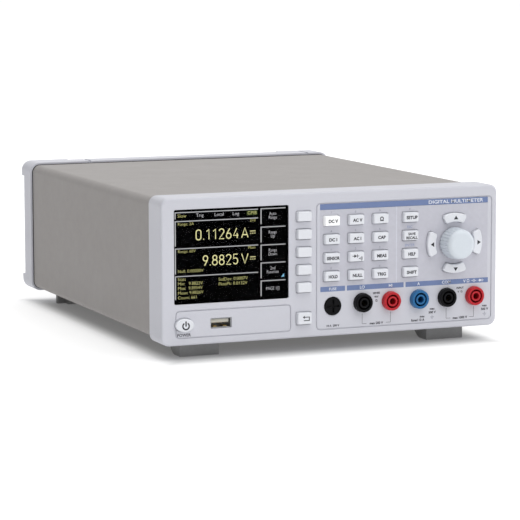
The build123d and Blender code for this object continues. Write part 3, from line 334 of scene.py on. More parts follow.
MATERIALS["window_glass"] = clear("window_glass", (1.0, 1.0, 1.0), 0.01, 1.05)
MATERIALS["transformer_iron"] = laminated("transformer_iron", (0.10, 0.10, 0.11))
LIT_KEY = moulded("lit_key", (0.86, 0.86, 0.87), 0.38, 1800.0, 0.006, 0.01, 0.04, glow=0.15)
TONGUE_PLASTIC = moulded("tongue_plastic", (0.62, 0.60, 0.52), 0.4, 1500.0, 0.008, 0.02, 0.05)
INK_DARK = printed("ink_dark", (0.014, 0.015, 0.022))
INK_GREY = printed("ink_grey", (0.20, 0.21, 0.27))
INK_BLUE = printed("ink_blue", (0.148, 0.205, 0.385))
INK_PALE_BLUE = printed("ink_pale_blue", (0.27, 0.32, 0.50))
INK_FIELD = printed("ink_field", (0.525, 0.525, 0.585))
INK_WHITE = printed("ink_white", (0.76, 0.78, 0.84))
INK_LIGHT = printed("ink_light", (0.62, 0.63, 0.70))
GLOW_YELLOW = glowing("glow_yellow", (0.90, 0.86, 0.42), 0.95)
GLOW_DIM = glowing("glow_dim", (0.74, 0.72, 0.28), 0.9)
GLOW_WHITE = glowing("glow_white", (0.82, 0.82, 0.86), 0.85)
GLOW_GREY = glowing("glow_grey", (0.55, 0.56, 0.58), 0.85)
GLOW_GREEN = glowing("glow_green", (0.045, 0.075, 0.012), 0.6)
GLOW_BLUE = glowing("glow_blue", (0.25, 0.62, 0.90), 0.9)

# ---------------------------------------------------------------- CAD nodes: rounding and finish
SLOT_OF = {s["node"]: s["material_slot"] for s in frame["record"]["subparts"]}
SAME_POINT = 0.001 * MM
FLAT_ANGLE = math.radians(0.5)
EDGE_ANGLE = math.radians(32)
# Edge radius in mm of the nodes that are rounded here.
ROUNDING = {
    "front_bezel": 0.18,
    "rear_frame": 0.5,
    "case_feet": 0.4,
    "tilt_leg_left": 0.35,
    "tilt_leg_right": 0.35,
    "knob": 0.12,
    "fuse_cap": 0.12,
    "power_entry": 0.35,
    "interface_module": 0.15,
    "mains_rocker": 0.4,
    "trigger_bnc": 0.15,
    "rear_panel": 0.12,
    "usb_host_port": 0.06,
    "case_screws": 0.12,
}


def finish_node(name):
    """Gives a CAD node its material and, where it has a radius, rounded edges."""
    node = NODES[name]
    node.data.materials.clear()
    node.data.materials.append(MATERIALS[SLOT_OF[name]])
    if name in ROUNDING:
        weld = node.modifiers.new("weld", "WELD")
        weld.merge_threshold = SAME_POINT
        flat = node.modifiers.new("flat", "DECIMATE")
        flat.decimate_type = "DISSOLVE"
        flat.angle_limit = FLAT_ANGLE
        bevel = node.modifiers.new("rounding", "BEVEL")
        bevel.width = ROUNDING[name] * MM
        bevel.segments = 3
        bevel.limit_method = "ANGLE"
        bevel.angle_limit = EDGE_ANGLE
        bevel.harden_normals = False


for name in NODES:
    finish_node(name)
NODES["key_dc_volts"].data.materials[0] = LIT_KEY


# ---------------------------------------------------------------- flat artwork
def rectangle(x, z, width, height, corner=0.0, steps=6):
    """Outline points of a rectangle with rounded corners, in mm."""
    half_w, half_h = width / 2, height / 2
    if corner <= 0:
        left, right, low, high = x - half_w, x + half_w, z - half_h, z + half_h
        return [(left, low), (right, low), (right, high), (left, high)]
    points = []
    for sx, sz, start in ((1, -1, -90), (1, 1, 0), (-1, 1, 90), (-1, -1, 180)):
        cx = x + sx * (half_w - corner)
        cz = z + sz * (half_h - corner)
        for step in range(steps + 1):
            angle = math.radians(start + 90 * step / steps)
            points.append((cx + corner * math.cos(angle), cz + corner * math.sin(angle)))
    return points


def circle(x, z, radius, steps=40):
    """Outline points of a circle, in mm."""
    angles = [2 * math.pi * i / steps for i in range(steps)]
    return [(x + radius * math.cos(a), z + radius * math.sin(a)) for a in angles]


def arc_band(x, z, inner, outer, start, end, steps=20):
    """Outline of a ring segment between two angles in degrees."""
    angles = [math.radians(start + (end - start) * i / steps) for i in range(steps + 1)]
    points = [(x + outer * math.cos(a), z + outer * math.sin(a)) for a in angles]
    points += [(x + inner * math.cos(a), z + inner * math.sin(a)) for a in reversed(angles)]
    return points


def place_flat(mesh, y, facing):
    """Stands a mesh drawn in the XY plane (in metres) upright at depth y.

    facing is -1 for artwork read from the front and 1 for artwork read from the back.
    """
    mesh.transform(Matrix(((-facing, 0, 0, 0), (0, 0, facing, y), (0, 1, 0, 0), (0, 0, 0, 1))))


def mesh_of(curve):
    """Mesh of a curve or of lettering; the curve itself is removed."""
    holder = bpy.data.objects.new(curve.name, curve)
    bpy.context.scene.collection.objects.link(holder)
    bpy.context.view_layer.update()
    evaluated = holder.evaluated_get(bpy.context.evaluated_depsgraph_get())
    mesh = bpy.data.meshes.new_from_object(evaluated)
    bpy.data.objects.remove(holder)
    bpy.data.curves.remove(curve)
    return mesh


def curve_mesh(loops):
    """Thin closed plate from outlines in mm; an outline inside another is a hole."""
    curve = bpy.data.curves.new("outline", "CURVE")
    curve.dimensions = "2D"
    curve.fill_mode = "BOTH"
    curve.extrude = PRINT_THICKNESS / 2
    for loop in loops:
        spline = curve.splines.new("POLY")
        spline.points.add(len(loop) - 1)
        for point, (x, z) in zip(spline.points, loop):
            point.co = (x * MM, z * MM, 0.0, 1.0)
        spline.use_cyclic_u = True
    return mesh_of(curve)


def text_mesh(words, height, width=None, align="CENTER", bold=0.0, stretch=1.0):
    """Thin lettering with capitals of the given height in mm, centred in height on the origin."""
    curve = bpy.data.curves.new("words", "FONT")
    curve.body = words
    curve.size = 1.0
    curve.align_x = align
    curve.resolution_u = 3
    curve.offset = bold
    mesh = mesh_of(curve)
    scale = height * MM / CAP_HEIGHT
    if width is not None:
        xs = [v.co.x for v in mesh.vertices]
        stretch = width * MM / ((max(xs) - min(xs)) * scale)
    centring = Matrix.Translation((0, -CAP_HEIGHT / 2, 0))
    mesh.transform(Matrix.Diagonal((scale * stretch, scale, scale, 1.0)) @ centring)
    thicken(mesh)
    return mesh


def thicken(mesh):
    """Turns flat lettering into a closed thin plate."""
    work = bmesh.new()
    work.from_mesh(mesh)
    bmesh.ops.remove_doubles(work, verts=work.verts, dist=LETTER_WELD)
    bmesh.ops.recalc_face_normals(work, faces=work.faces)
    for face in work.faces:
        if face.normal.z < 0:
            face.normal_flip()
    grown = bmesh.ops.extrude_face_region(work, geom=work.faces[:])
    lifted = [e for e in grown["geom"] if isinstance(e, bmesh.types.BMVert)]
    bmesh.ops.translate(work, verts=lifted, vec=(0, 0, -PRINT_THICKNESS))
    bmesh.ops.recalc_face_normals(work, faces=work.faces)
    bmesh.ops.translate(work, verts=work.verts, vec=(0, 0, PRINT_THICKNESS / 2))
    work.to_mesh(mesh)
    work.free()


def measure_capitals():
    """Height of the built-in font's capitals at size 1."""
    curve = bpy.data.curves.new("probe", "FONT")
    curve.body = "H"
    holder = bpy.data.objects.new("probe", curve)
    bpy.context.scene.collection.objects.link(holder)
    bpy.context.view_layer.update()
    height = holder.dimensions.y
    bpy.data.objects.remove(holder)
    bpy.data.curves.remove(curve)
    return height


CAP_HEIGHT = measure_capitals()


def sweep(z, radius_x, radius_z, start, end, steps=10):
    """Points of an arc between two angles in degrees, round the middle of a digit."""
    angles = [math.radians(start + (end - start) * i / steps) for i in range(steps + 1)]
    return [(0.28 + radius_x * math.cos(a), z + radius_z * math.sin(a)) for a in angles]


# Characters of the reading, as pen strokes in a box about 0.56 wide and 1 high.
STROKES = {
    "0": [sweep(0.76, 0.24, 0.24, 0, 180) + sweep(0.24, 0.24, 0.24, 180, 360) + [(0.52, 0.76)]],
    "1": [[(0.10, 0.80), (0.34, 1.0), (0.34, 0.0)]],
    "2": [sweep(0.76, 0.24, 0.24, 170, -35) + [(0.05, 0.0), (0.53, 0.0)]],
    "4": [[(0.36, 1.0), (0.04, 0.27), (0.54, 0.27)], [(0.41, 0.5), (0.41, 0.0)]],
    "5": [[(0.50, 1.0), (0.10, 1.0), (0.07, 0.56)] + sweep(0.31, 0.24, 0.31, 110, -150)],
    "6": [[(0.38, 1.0), (0.10, 0.50)] + sweep(0.27, 0.24, 0.27, 150, -200)],
    "8": [sweep(0.76, 0.21, 0.23, -90, 270, 16), sweep(0.27, 0.25, 0.26, 90, 450, 16)],
    "9": [sweep(0.73, 0.24, 0.27, -20, 340, 16) + [(0.47, 0.50), (0.18, 0.0)]],
    ".": [[(0.06, 0.0), (0.06, 0.09)]],
    "A": [[(0.0, 0.0), (0.30, 1.0), (0.60, 0.0)], [(0.10, 0.30), (0.50, 0.30)]],
    "V": [[(0.0, 1.0), (0.30, 0.0), (0.60, 1.0)]],
}
STROKE_ADVANCE = {"1": 0.66, ".": 0.26, "A": 0.8, "V": 0.8}
DIGIT_ADVANCE = 0.72
DIGIT_SPACE = 0.16


def stroke_mesh(words, height, width, weight):
    """Lettering drawn with a flattened round pen, its left end at the origin; sizes in mm."""
    curve = bpy.data.curves.new("strokes", "CURVE")
    curve.dimensions = "3D"
    curve.bevel_depth = weight / 2 * MM
    curve.bevel_resolution = 2
    curve.use_fill_caps = True
    total = sum(STROKE_ADVANCE.get(c, DIGIT_ADVANCE) for c in words) - DIGIT_SPACE
    squeeze = width / (total * height)
    pen = 0.0
    for letter in words:
        for line in STROKES[letter]:
            spline = curve.splines.new("POLY")
            spline.points.add(len(line) - 1)
            for point, (x, z) in zip(spline.points, line):
                across = (pen + x) * height * squeeze * MM
                point.co = (across, (z - 0.5) * height * MM, 0.0, 1.0)
        pen += STROKE_ADVANCE.get(letter, DIGIT_ADVANCE)
    mesh = mesh_of(curve)
    mesh.transform(Matrix.Diagonal((1.0, 1.0, PRINT_THICKNESS / (weight * MM), 1.0)))
    return mesh


class Artwork:
    """Collects flat shapes of one ink on one CAD body and makes one piece of them."""

    def __init__(self, name, body, material, y, slot, facing=-1):
        self.name = name
        self.body = body
        self.material = material
        self.y = y
        self.slot = slot
        self.facing = facing
        self.work = bmesh.new()

    def add(self, mesh, x=0.0, z=0.0):
        """Adds a mesh drawn in the XY plane at x mm, z mm above the case bottom."""
        place_flat(mesh, self.y, self.facing)
        mesh.transform(Matrix.Translation((x * MM, 0, up(z))))
        self.work.from_mesh(mesh)
        bpy.data.meshes.remove(mesh)

    def shape(self, *loops):
        """Adds outlines given in panel coordinates."""
        self.add(curve_mesh(loops))

    def words(self, words, x, z, height, width=None, align="CENTER", bold=0.0, stretch=1.0):
        """Adds lettering of the built-in font."""
        self.add(text_mesh(words, height, width, align, bold, stretch), x, z)

    def reading(self, words, x, z, height, width, weight):
        """Adds characters drawn as pen strokes."""
        self.add(stroke_mesh(words, height, width, weight), x, z)

    def done(self):
        """Makes the piece."""
        mesh = bpy.data.meshes.new(self.name)
        self.work.to_mesh(mesh)
        self.work.free()
        mesh.materials.append(self.material)
        piece = bpy.data.objects.new(self.name, mesh)
        bpy.context.scene.collection.objects.link(piece)
        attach(piece, self.body)


def spot(node):
    """Middle of a node on the panel: x in mm and height in mm above the case bottom."""
    centre = middle(node)
    return centre.x / MM, (centre.z - BASE) / MM


def size(node):
    """Width and height of a node in mm."""
    low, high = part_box(node)
    return (high.x - low.x) / MM, (high.z - low.z) / MM


# Legend of each function key, and what is printed above it.
FUNCTION_KEYS = {
    "key_dc_volts": ("DC V", "7"),
    "key_ac_volts": ("AC V", "8"),
    "key_ohms": ("Ω", "9"),
    "key_dc_current": ("DC I", "4"),
    "key_ac_current": ("AC I", "5"),
    "key_capacitance": ("CAP", "6"),
    "key_sensor": ("SENSOR", "1"),
    "key_diode": ("", "2"),
    "key_measure": ("MEAS", "3"),
    "key_hold": ("HOLD", "0"),
    "key_null": ("NULL", "."),
    "key_trigger": ("TRIG", "±"),
    "key_setup": ("SETUP", "←"),
    "key_recall": ("SAVE\nRECALL", "ESC"),
    "key_help": ("HELP", "ENTER"),
    "key_shift": ("SHIFT", ""),
}
# Direction of each arrow key from the knob, in degrees.
ARROW_KEYS = {"key_right": 0, "key_up": 90, "key_left": 180, "key_down": 270}
# A key's box holds the flange behind the panel, which is wider than the cap; sizes in mm.
KEY_FLANGE = 1.0
KEY_CLEARANCE = 0.48
KEY_HOLE_CORNER = 1.3
SHAFT_HOLE = 5.0
RING_INNER, RING_OUTER = 12.85, 19.05
ARROW_HALF_ANGLE = 27.5
# Middle, width and height of the printed field and of its bars, in panel coordinates.
FIELD = (47.8, 53.7, 113.6, 46.8)
TITLE = (47.8, 78.8, 113.6, 3.6)
BAR_Z = 28.7
BARS = ((-0.5, BAR_Z, 16.4, 3.1), (28.0, BAR_Z, 38.2, 3.1), (76.8, BAR_Z, 56.8, 3.1))
SEPARATOR = (42.1, FIELD[1], 0.45, FIELD[3])
SYMBOL_LINE = 0.3
FINE_LINE = 0.22
LIGHT_BOLD = 0.02
SMALL_BOLD = 0.035
# How far to the right of a socket its rating to earth stands, in mm.
EARTH_OFFSET = {"socket_current": 9.4, "socket_volts": 7.6}

knob_x, knob_z = spot("knob")
fuse_x = spot("fuse_holder")[0]
power_x, power_z = spot("key_power")
print_y = FRONT - PRINT_GAP
light_y = print_y - PRINT_GAP


def key_hole(node):
    """Clearance outline round a rectangular key."""
    x, z = spot(node)
    width, height = size(node)
    grow = 2 * (KEY_CLEARANCE - KEY_FLANGE)
    return rectangle(x, z, width + grow, height + grow, KEY_HOLE_CORNER)


def arrow_hole(angle):
    """Clearance outline round an arrow key."""
    start, end = angle - ARROW_HALF_ANGLE, angle + ARROW_HALF_ANGLE
    return arc_band(knob_x, knob_z, RING_INNER, RING_OUTER, start, end)


field = Artwork("print_field", "case", INK_FIELD, print_y, "bezel_plastic")
holes = [key_hole(node) for node in FUNCTION_KEYS]
holes += [arrow_hole(angle) for angle in ARROW_KEYS.values()]
holes.append(circle(knob_x, knob_z, SHAFT_HOLE))
field.shape(rectangle(*FIELD), *holes)
field.done()

bars = Artwork("print_bars", "case", INK_BLUE, print_y, "bezel_plastic")
bars.shape(rectangle(*TITLE))
for bar in BARS:
    bars.shape(rectangle(*bar))
bars.done()

light = Artwork("print_white", "case", INK_WHITE, light_y, "bezel_plastic")
light.words("DIGITAL MULTIMETER", 82.4, TITLE[1], 2.0, 37.6, bold=LIGHT_BOLD)
light.words("FUSE", fuse_x, BAR_Z, 1.6, bold=LIGHT_BOLD)
for node, words, offset in (
    ("socket_sense_low", "LO", 0.0),
    ("socket_sense_high", "HI", 0.0),
    ("socket_current", "A", 0.0),
    ("socket_common", "COM", 0.0),
    ("socket_volts", "V Ω", -5.2),
):
    light.words(words, spot(node)[0] + offset, BAR_Z, 1.8, bold=LIGHT_BOLD)
# Capacitor sign, then diode sign
sign_x = spot("socket_volts")[0]
for x, width in ((-1.1, 1.2), (1.1, 1.2), (3.3, 0.9), (6.4, 1.0)):
    light.shape(rectangle(sign_x + x, BAR_Z, width, SYMBOL_LINE))
for x in (-0.4, 0.4, 5.75):
    light.shape(rectangle(sign_x + x, BAR_Z, SYMBOL_LINE, 1.9))
back_x = sign_x + 3.75
light.shape([(back_x, BAR_Z + 0.95), (back_x, BAR_Z - 0.95), (sign_x + 5.6, BAR_Z)])
light.done()

line = Artwork("print_separator", "case", INK_LIGHT, light_y, "bezel_plastic")
line.shape(rectangle(*SEPARATOR))
line.done()

small = Artwork("print_numerals", "case", INK_GREY, light_y, "bezel_plastic")
for node, (_, above) in FUNCTION_KEYS.items():
    if len(above) == 1:
        x, z = spot(node)
        small.words(above, x, z + 4.9, 1.25)
small.done()

blue_words = Artwork("print_blue_words", "case", INK_PALE_BLUE, light_y, "bezel_plastic")
for node in ("key_recall", "key_help"):
    x, z = spot(node)
    blue_words.words(FUNCTION_KEYS[node][1], x, z + 5.2, 1.5, bold=0.01)
blue_words.done()

dark = Artwork("print_dark", "case", INK_DARK, print_y, "bezel_plastic")
dark.words("POWER", power_x, power_z - 6.1, 1.7, 8.6, bold=LIGHT_BOLD)
dark.words("10 A  250 V", fuse_x, 6.2, 1.2, bold=SMALL_BOLD)
for first, second, rating in (
    ("socket_sense_low", "socket_sense_high", "max 200 V"),
    ("socket_common", "socket_volts", "max 1000 V"),
):
    left_x, socket_z = spot(first)
    right_x = spot(second)[0]
    low = socket_z - 13.2
    for x in (left_x, right_x):
        dark.shape(rectangle(x, low + 3.2, FINE_LINE, 6.4))
    for x, sign in ((left_x, 1), (right_x, -1)):
        dark.shape(rectangle(x + sign * 1.5, low, 3.0, FINE_LINE))
    dark.words(rating, (left_x + right_x) / 2, low, 1.4, bold=SMALL_BOLD)
sense_x = (spot("socket_sense_low")[0] + spot("socket_sense_high")[0]) / 2
input_x = (spot("socket_common")[0] + spot("socket_volts")[0]) / 2
current_x = spot("socket_current")[0]
# Lettering between the sockets: place, height above the sockets' middle and letter height
small_words = [
    ("SENSE", sense_x, 5.3, 1.2),
    ("4W", sense_x, 3.0, 1.2),
    ("Ω", sense_x, 0.6, 1.3),
    ("INPUT", input_x, 5.3, 1.2),
    ("V  Ω", input_x, 3.0, 1.2),
    ("max", current_x + 2.6, -11.0, 1.3),
    ("fused 10 A", current_x - 0.4, -13.1, 1.4),
]
for node, offset in EARTH_OFFSET.items():
    small_words.append(("max", spot(node)[0] + offset, -6.6, 1.3))
    small_words.append(("500 V", spot(node)[0] + offset, -8.8, 1.4))
for words, x, rise, height in small_words:
    dark.words(words, x, socket_z + rise, height, bold=SMALL_BOLD)
dark.done()

earth = Artwork("print_earth", "case", INK_GREY, print_y, "bezel_plastic")
earth_z = socket_z - 11.6
for node, offset in EARTH_OFFSET.items():
    x = spot(node)[0] + offset
    for index, width in enumerate((2.6, 1.7, 0.8)):
        earth.shape(rectangle(x, earth_z - 0.6 * index, width, FINE_LINE))
    earth.shape(rectangle(x, earth_z + 0.6, FINE_LINE, 1.2))
earth.done()

# ---------------------------------------------------------------- key legends
LEGEND_BOLD = 0.04
ONE_LINE_BOLD = 0.045
LEGEND_SHIFT = (0.3, -0.1)
LEGEND_WIDTHS = {"SENSOR": 8.5, "HOLD": 5.9, "HELP": 4.9, "DC I": 5.3}
ARROW_RADIUS = 15.9
ARROW_SHIFT = (0.4, -0.2)
ARROW_OUTLINE = ((1.3, 0.0), (-1.0, 1.5), (-1.0, -1.5))
RETURN_SHIFT = (0.9, 0.1)
RETURN_OUTLINE = (
    (-2.4, 0.8),
    (-1.1, 1.8),
    (-1.1, 1.05),
    (2.2, 1.05),
    (2.2, -1.5),
    (-1.7, -1.5),
    (-1.7, -1.0),
    (1.65, -1.0),
    (1.65, 0.55),
    (-1.1, 0.55),
    (-1.1, -0.2),
)


def key_legend(node):
    """Empty legend on the face of a key."""
    face_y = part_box(node)[0].y - PRINT_GAP / 2
    return Artwork(f"legend_{node}", node, INK_DARK, face_y, "key_plastic")


for node, (label, _) in FUNCTION_KEYS.items():
    legend = key_legend(node)
    x, z = spot(node)
    x += LEGEND_SHIFT[0]
    z += LEGEND_SHIFT[1]
    if node == "key_diode":
        legend.shape([(x - 2.2, z + 1.6), (x - 2.2, z - 0.4), (x - 0.3, z + 0.6)])
        legend.shape(rectangle(x - 0.1, z + 0.6, 0.4, 2.0))
        legend.shape(rectangle(x - 2.8, z + 0.6, 1.2, 0.36))
        legend.shape(rectangle(x + 0.6, z + 0.6, 1.0, 0.36))
        for index in range(3):
            inner = 0.55 + 0.6 * index
            legend.shape(arc_band(x + 1.3, z - 0.9, inner, 0.85 + 0.6 * index, -45, 45, 8))
        legend.shape(circle(x + 1.2, z - 0.9, 0.35, 12))
    elif "\n" in label:
        top, bottom = label.split("\n")
        legend.words(top, x, z + 1.2, 1.5, bold=LEGEND_BOLD)
        legend.words(bottom, x, z - 1.2, 1.5, bold=LEGEND_BOLD)
    elif label == "Ω":
        legend.words(label, x, z, 2.3, bold=LEGEND_BOLD)
    else:
        legend.words(label, x, z, 1.8, LEGEND_WIDTHS.get(label), bold=ONE_LINE_BOLD)
    legend.done()

for node, angle in ARROW_KEYS.items():
    legend = key_legend(node)
    along, across = math.cos(math.radians(angle)), math.sin(math.radians(angle))
    x = knob_x + ARROW_SHIFT[0] + ARROW_RADIUS * along
    z = knob_z + ARROW_SHIFT[1] + ARROW_RADIUS * across
    turned = [(u * along - v * across, u * across + v * along) for u, v in ARROW_OUTLINE]
    legend.shape([(x + u, z + v) for u, v in turned])
    legend.done()

legend = key_legend("key_power")
legend.shape(arc_band(power_x + 0.5, power_z - 0.4, 1.55, 2.45, 122, 418, 30))
legend.shape(rectangle(power_x + 0.5, power_z + 1.0, 0.9, 3.2, 0.3))
legend.done()

return_x, return_z = spot("key_return")
turn_x = return_x + RETURN_SHIFT[0]
turn_z = return_z + RETURN_SHIFT[1]
legend = key_legend("key_return")
legend.shape([(turn_x + x, turn_z + z) for x, z in RETURN_OUTLINE])
legend.done()

# ---------------------------------------------------------------- display contents
RIM = 1.8
SCREEN_BOLD = -0.015
DIGIT_HEIGHT = 5.9
DIGIT_WEIGHT = 0.62
# Frames of the panes and of the soft key cells, as shares of the lit area from its left and top.
THICK_U, THICK_V = 0.009, 0.010
PANE_LEFT, PANE_RIGHT = 0.024, 0.748
PANES = ((0.032, 0.105), (0.125, 0.392), (0.413, 0.685), (0.705, 0.955))
CELL_LEFT, CELL_RIGHT = 0.770, 0.991
CELL_HEIGHT = 0.168
CELLS = (0.030, 0.226, 0.418, 0.609, 0.801)
CELL_MIDDLE = 0.878

pane_low, pane_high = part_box("display_window")
view_left = pane_low.x / MM + RIM
view_right = pane_high.x / MM - RIM
view_bottom = (pane_low.z - BASE) / MM + RIM
view_top = (pane_high.z - BASE) / MM - RIM
view_w = view_right - view_left
view_h = view_top - view_bottom
screen_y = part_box("display_module")[0].y + 0.3 * MM


def screen(u, v):
    """Panel coordinates of a point of the display: u from the left, v from the top."""
    return view_left + u * view_w, view_top - v * view_h


def screen_box(u0, v0, u1, v1):
    """Outline of a rectangle of the display between two of its points."""
    x0, z0 = screen(u0, v0)
    x1, z1 = screen(u1, v1)
    return rectangle((x0 + x1) / 2, (z0 + z1) / 2, abs(x1 - x0), abs(z0 - z1))


def screen_words(art, words, u, v, height, align="LEFT", stretch=1.0):
    """Adds lettering at a point of the display."""
    x, z = screen(u, v)
    art.words(words, x, z, height, None, align, SCREEN_BOLD, stretch)


frames = Artwork("display_frames", "case", GLOW_GREY, screen_y, "display_black")
for top, bottom in PANES:
    frames.shape(screen_box(PANE_LEFT, top, PANE_RIGHT, top + THICK_V))
    frames.shape(screen_box(PANE_LEFT, top + THICK_V, PANE_LEFT + THICK_U, bottom))
for top in CELLS:
    frames.shape(screen_box(CELL_LEFT, top, CELL_RIGHT, top + THICK_V))
    frames.shape(screen_box(CELL_LEFT, top + THICK_V, CELL_LEFT + THICK_U, top + CELL_HEIGHT))
frames.done()

digits = Artwork("display_digits", "case", GLOW_YELLOW, screen_y, "display_black")
for words, u, v, width in (
    ("0.11264", 0.205, 0.280, 27.4),
    ("A", 0.604, 0.280, 4.4),
    ("9.8825", 0.265, 0.556, 22.6),
    ("V", 0.604, 0.556, 4.4),
):
    x, z = screen(u, v)
    digits.reading(words, x, z, DIGIT_HEIGHT, width, DIGIT_WEIGHT)
# Direct current signs: a bar over three dashes
for v in (0.276, 0.552):
    digits.shape(screen_box(0.678, v - 0.014, 0.726, v - 0.006))
    for u in (0.678, 0.696, 0.714):
        digits.shape(screen_box(u, v + 0.010, u + 0.011, v + 0.018))
digits.done()

notes = Artwork("display_notes", "case", GLOW_DIM, screen_y, "display_black")
for words, u, v, height in (
    ("Slow", 0.048, 0.072, 2.0),
    ("GPIB", 0.655, 0.072, 2.0),
    ("Range: 2A", 0.050, 0.158, 1.7),
    ("2nd", 0.675, 0.150, 1.7),
    ("Range: 60V", 0.050, 0.446, 1.7),
    ("Main", 0.660, 0.440, 1.7),
    ("Null: 0.00000V", 0.048, 0.656, 1.85),
    ("Stats", 0.048, 0.740, 1.85),
    ("Min:   9.8822V", 0.048, 0.788, 1.85),
    ("Max:  9.8954V", 0.048, 0.836, 1.85),
    ("Mean: 9.8826V", 0.048, 0.885, 1.85),
    ("Count: 661", 0.048, 0.935, 1.85),
    ("StdDev: 0.0007V", 0.400, 0.762, 1.9),
    ("PktoPk: 0.0132V", 0.400, 0.812, 1.9),
):
    screen_words(notes, words, u, v, height)
notes.done()

patch = Artwork("display_patch", "case", GLOW_GREEN, screen_y + PRINT_GAP, "display_black")
patch.shape(screen_box(0.648, 0.048, 0.742, 0.096))
patch.done()

menu = Artwork("display_menu", "case", GLOW_WHITE, screen_y, "display_black")
for words, u, v in (("Trig", 0.208, 0.072), ("Local", 0.366, 0.072), ("Log", 0.524, 0.072)):
    screen_words(menu, words, u, v, 2.0)
for words, v in (
    ("Auto", 0.090),
    ("Range", 0.130),
    ("Range", 0.288),
    ("Up", 0.330),
    ("Range", 0.480),
    ("Down", 0.522),
    ("2nd", 0.672),
    ("Function", 0.712),
    ("PAGE 1|2", 0.890),
):
    screen_words(menu, words, CELL_MIDDLE, v, 1.9, "CENTER", 0.82)
menu.done()

corner = Artwork("display_corner", "case", GLOW_BLUE, screen_y, "display_black")
corner.shape([screen(0.978, 0.735), screen(0.978, 0.772), screen(0.952, 0.772)])
corner.done()


# ---------------------------------------------------------------- USB tongue and contacts
def block_piece(name, boxes, material, rounding):
    """One piece made of bevelled blocks, each given by its centre and size in metres."""
    work = bmesh.new()
    for centre, extent in boxes:
        made = bmesh.ops.create_cube(work, size=1.0)
        matrix = Matrix.Translation(centre) @ Matrix.Diagonal((*extent, 1.0))
        bmesh.ops.transform(work, matrix=matrix, verts=made["verts"])
    mesh = bpy.data.meshes.new(name)
    work.to_mesh(mesh)
    work.free()
    mesh.materials.append(material)
    piece = bpy.data.objects.new(name, mesh)
    bpy.context.scene.collection.objects.link(piece)
    soften = piece.modifiers.new("rounding", "BEVEL")
    soften.width = rounding * MM
    soften.segments = 2
    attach(piece, "case")


TONGUE_RISE = 1.1 * MM
TONGUE_SIZE = (11.3 * MM, 11.6 * MM, 2.0 * MM)
CONTACT_SIZE = (1.2 * MM, 9.6 * MM, 0.3 * MM)
CONTACT_DROP = 1.1 * MM
SPRING_SIZE = (2.4 * MM, 5.6 * MM, 0.35 * MM)

usb_low, usb_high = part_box("usb_host_port")
usb_x = (usb_low.x + usb_high.x) / 2
tongue_z = (usb_low.z + usb_high.z) / 2 + TONGUE_RISE
contact_y = usb_low.y + 7.0 * MM
contact_z = tongue_z - CONTACT_DROP
spring_y = usb_low.y + 4.2 * MM
spring_z = usb_low.z + 0.75 * MM
block_piece(
    "usb_tongue",
    [((usb_x, usb_low.y + 7.4 * MM, tongue_z), TONGUE_SIZE)],
    TONGUE_PLASTIC,
    0.15,
)
block_piece(
    "usb_contacts",
    [((usb_x + step * MM, contact_y, contact_z), CONTACT_SIZE) for step in (-3.5, -1.0, 1.0, 3.5)],
    MATERIALS["contact_brass"],
    0.08,
)
block_piece(
    "usb_springs",
    [((usb_x + step * MM, spring_y, spring_z), SPRING_SIZE) for step in (-3.2, 3.2)],
    MATERIALS["contact_brass"],
    0.12,
)

# ---------------------------------------------------------------- dark band behind the sleeve, painted shade of the seam
SHARP_ANGLE = math.radians(35)
SHADE_BAND_RISE = Vector((0.3, 0, 0.3)) * MM
SHADE_BAND_GAP = 0.05 * MM
SHADE_BAND_DEPTH = 0.7 * MM
SHADE_BAND_THICKNESS = 1.5
SHADE_BAND_CORNER = 5.3


def ring_piece(name, low, high, front, back, thickness, corner, material):
    """Closed band round a box's sides, between two depths in metres.

    Its thickness and the radius of its outer corners are in mm.
    """
    work = bmesh.new()
    half_w = (high.x - low.x) / 2 / MM
    half_h = (high.z - low.z) / 2 / MM
    centre_x = (high.x + low.x) / 2
    centre_z = (high.z + low.z) / 2
    rows = []
    for grow, depth in ((0.0, front), (0.0, back), (-thickness, back), (-thickness, front)):
        outline = rectangle(0, 0, 2 * (half_w + grow), 2 * (half_h + grow), corner + grow, 8)
        places = [(centre_x + x * MM, depth, centre_z + z * MM) for x, z in outline]
        rows.append([work.verts.new(place) for place in places])
    count = len(rows[0])
    for row in range(4):
        first, second = rows[row], rows[(row + 1) % 4]
        for i in range(count):
            j = (i + 1) % count
            work.faces.new((first[i], first[j], second[j], second[i]))
    bmesh.ops.recalc_face_normals(work, faces=work.faces)
    mesh = bpy.data.meshes.new(name)
    work.to_mesh(mesh)
    work.free()
    for polygon in mesh.polygons:
        polygon.use_smooth = True
    mesh.set_sharp_from_angle(angle=SHARP_ANGLE)
    mesh.materials.append(material)
    piece = bpy.data.objects.new(name, mesh)
    bpy.context.scene.collection.objects.link(piece)
    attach(piece, "case")


sleeve_low, sleeve_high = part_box("case_sleeve")
shade_band_y = sleeve_high.y + SHADE_BAND_GAP
# Dark ring in the gap between the sleeve and the rear frame: painted shade, standing in for the
# shadow in that seam.
ring_piece(
    "seam_shade_band",
    sleeve_low - SHADE_BAND_RISE,
    sleeve_high + SHADE_BAND_RISE,
    shade_band_y,
    shade_band_y + SHADE_BAND_DEPTH,
    SHADE_BAND_THICKNESS,
    SHADE_BAND_CORNER,
    MATERIALS["dark_plastic"],
)

# ---------------------------------------------------------------- rear legends
REAR_LETTERS = 2.0
rear_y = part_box("rear_panel")[1].y + PRINT_GAP
rear = Artwork("print_rear", "case", INK_WHITE, rear_y, "sleeve_paint", facing=1)
bnc_x, bnc_z = spot("trigger_bnc")
rear.words("TRIG IN", bnc_x, bnc_z + 10.0, REAR_LETTERS)
interface_x, interface_z = spot("interface_module")
rear.words("LAN", interface_x + 12.0, interface_z - 16.0, REAR_LETTERS)
rear.words("USB", interface_x - 14.0, interface_z - 16.0, REAR_LETTERS)
rear.done()

# ---------------------------------------------------------------- floor, light and camera
FLOOR_HALF = 6.0
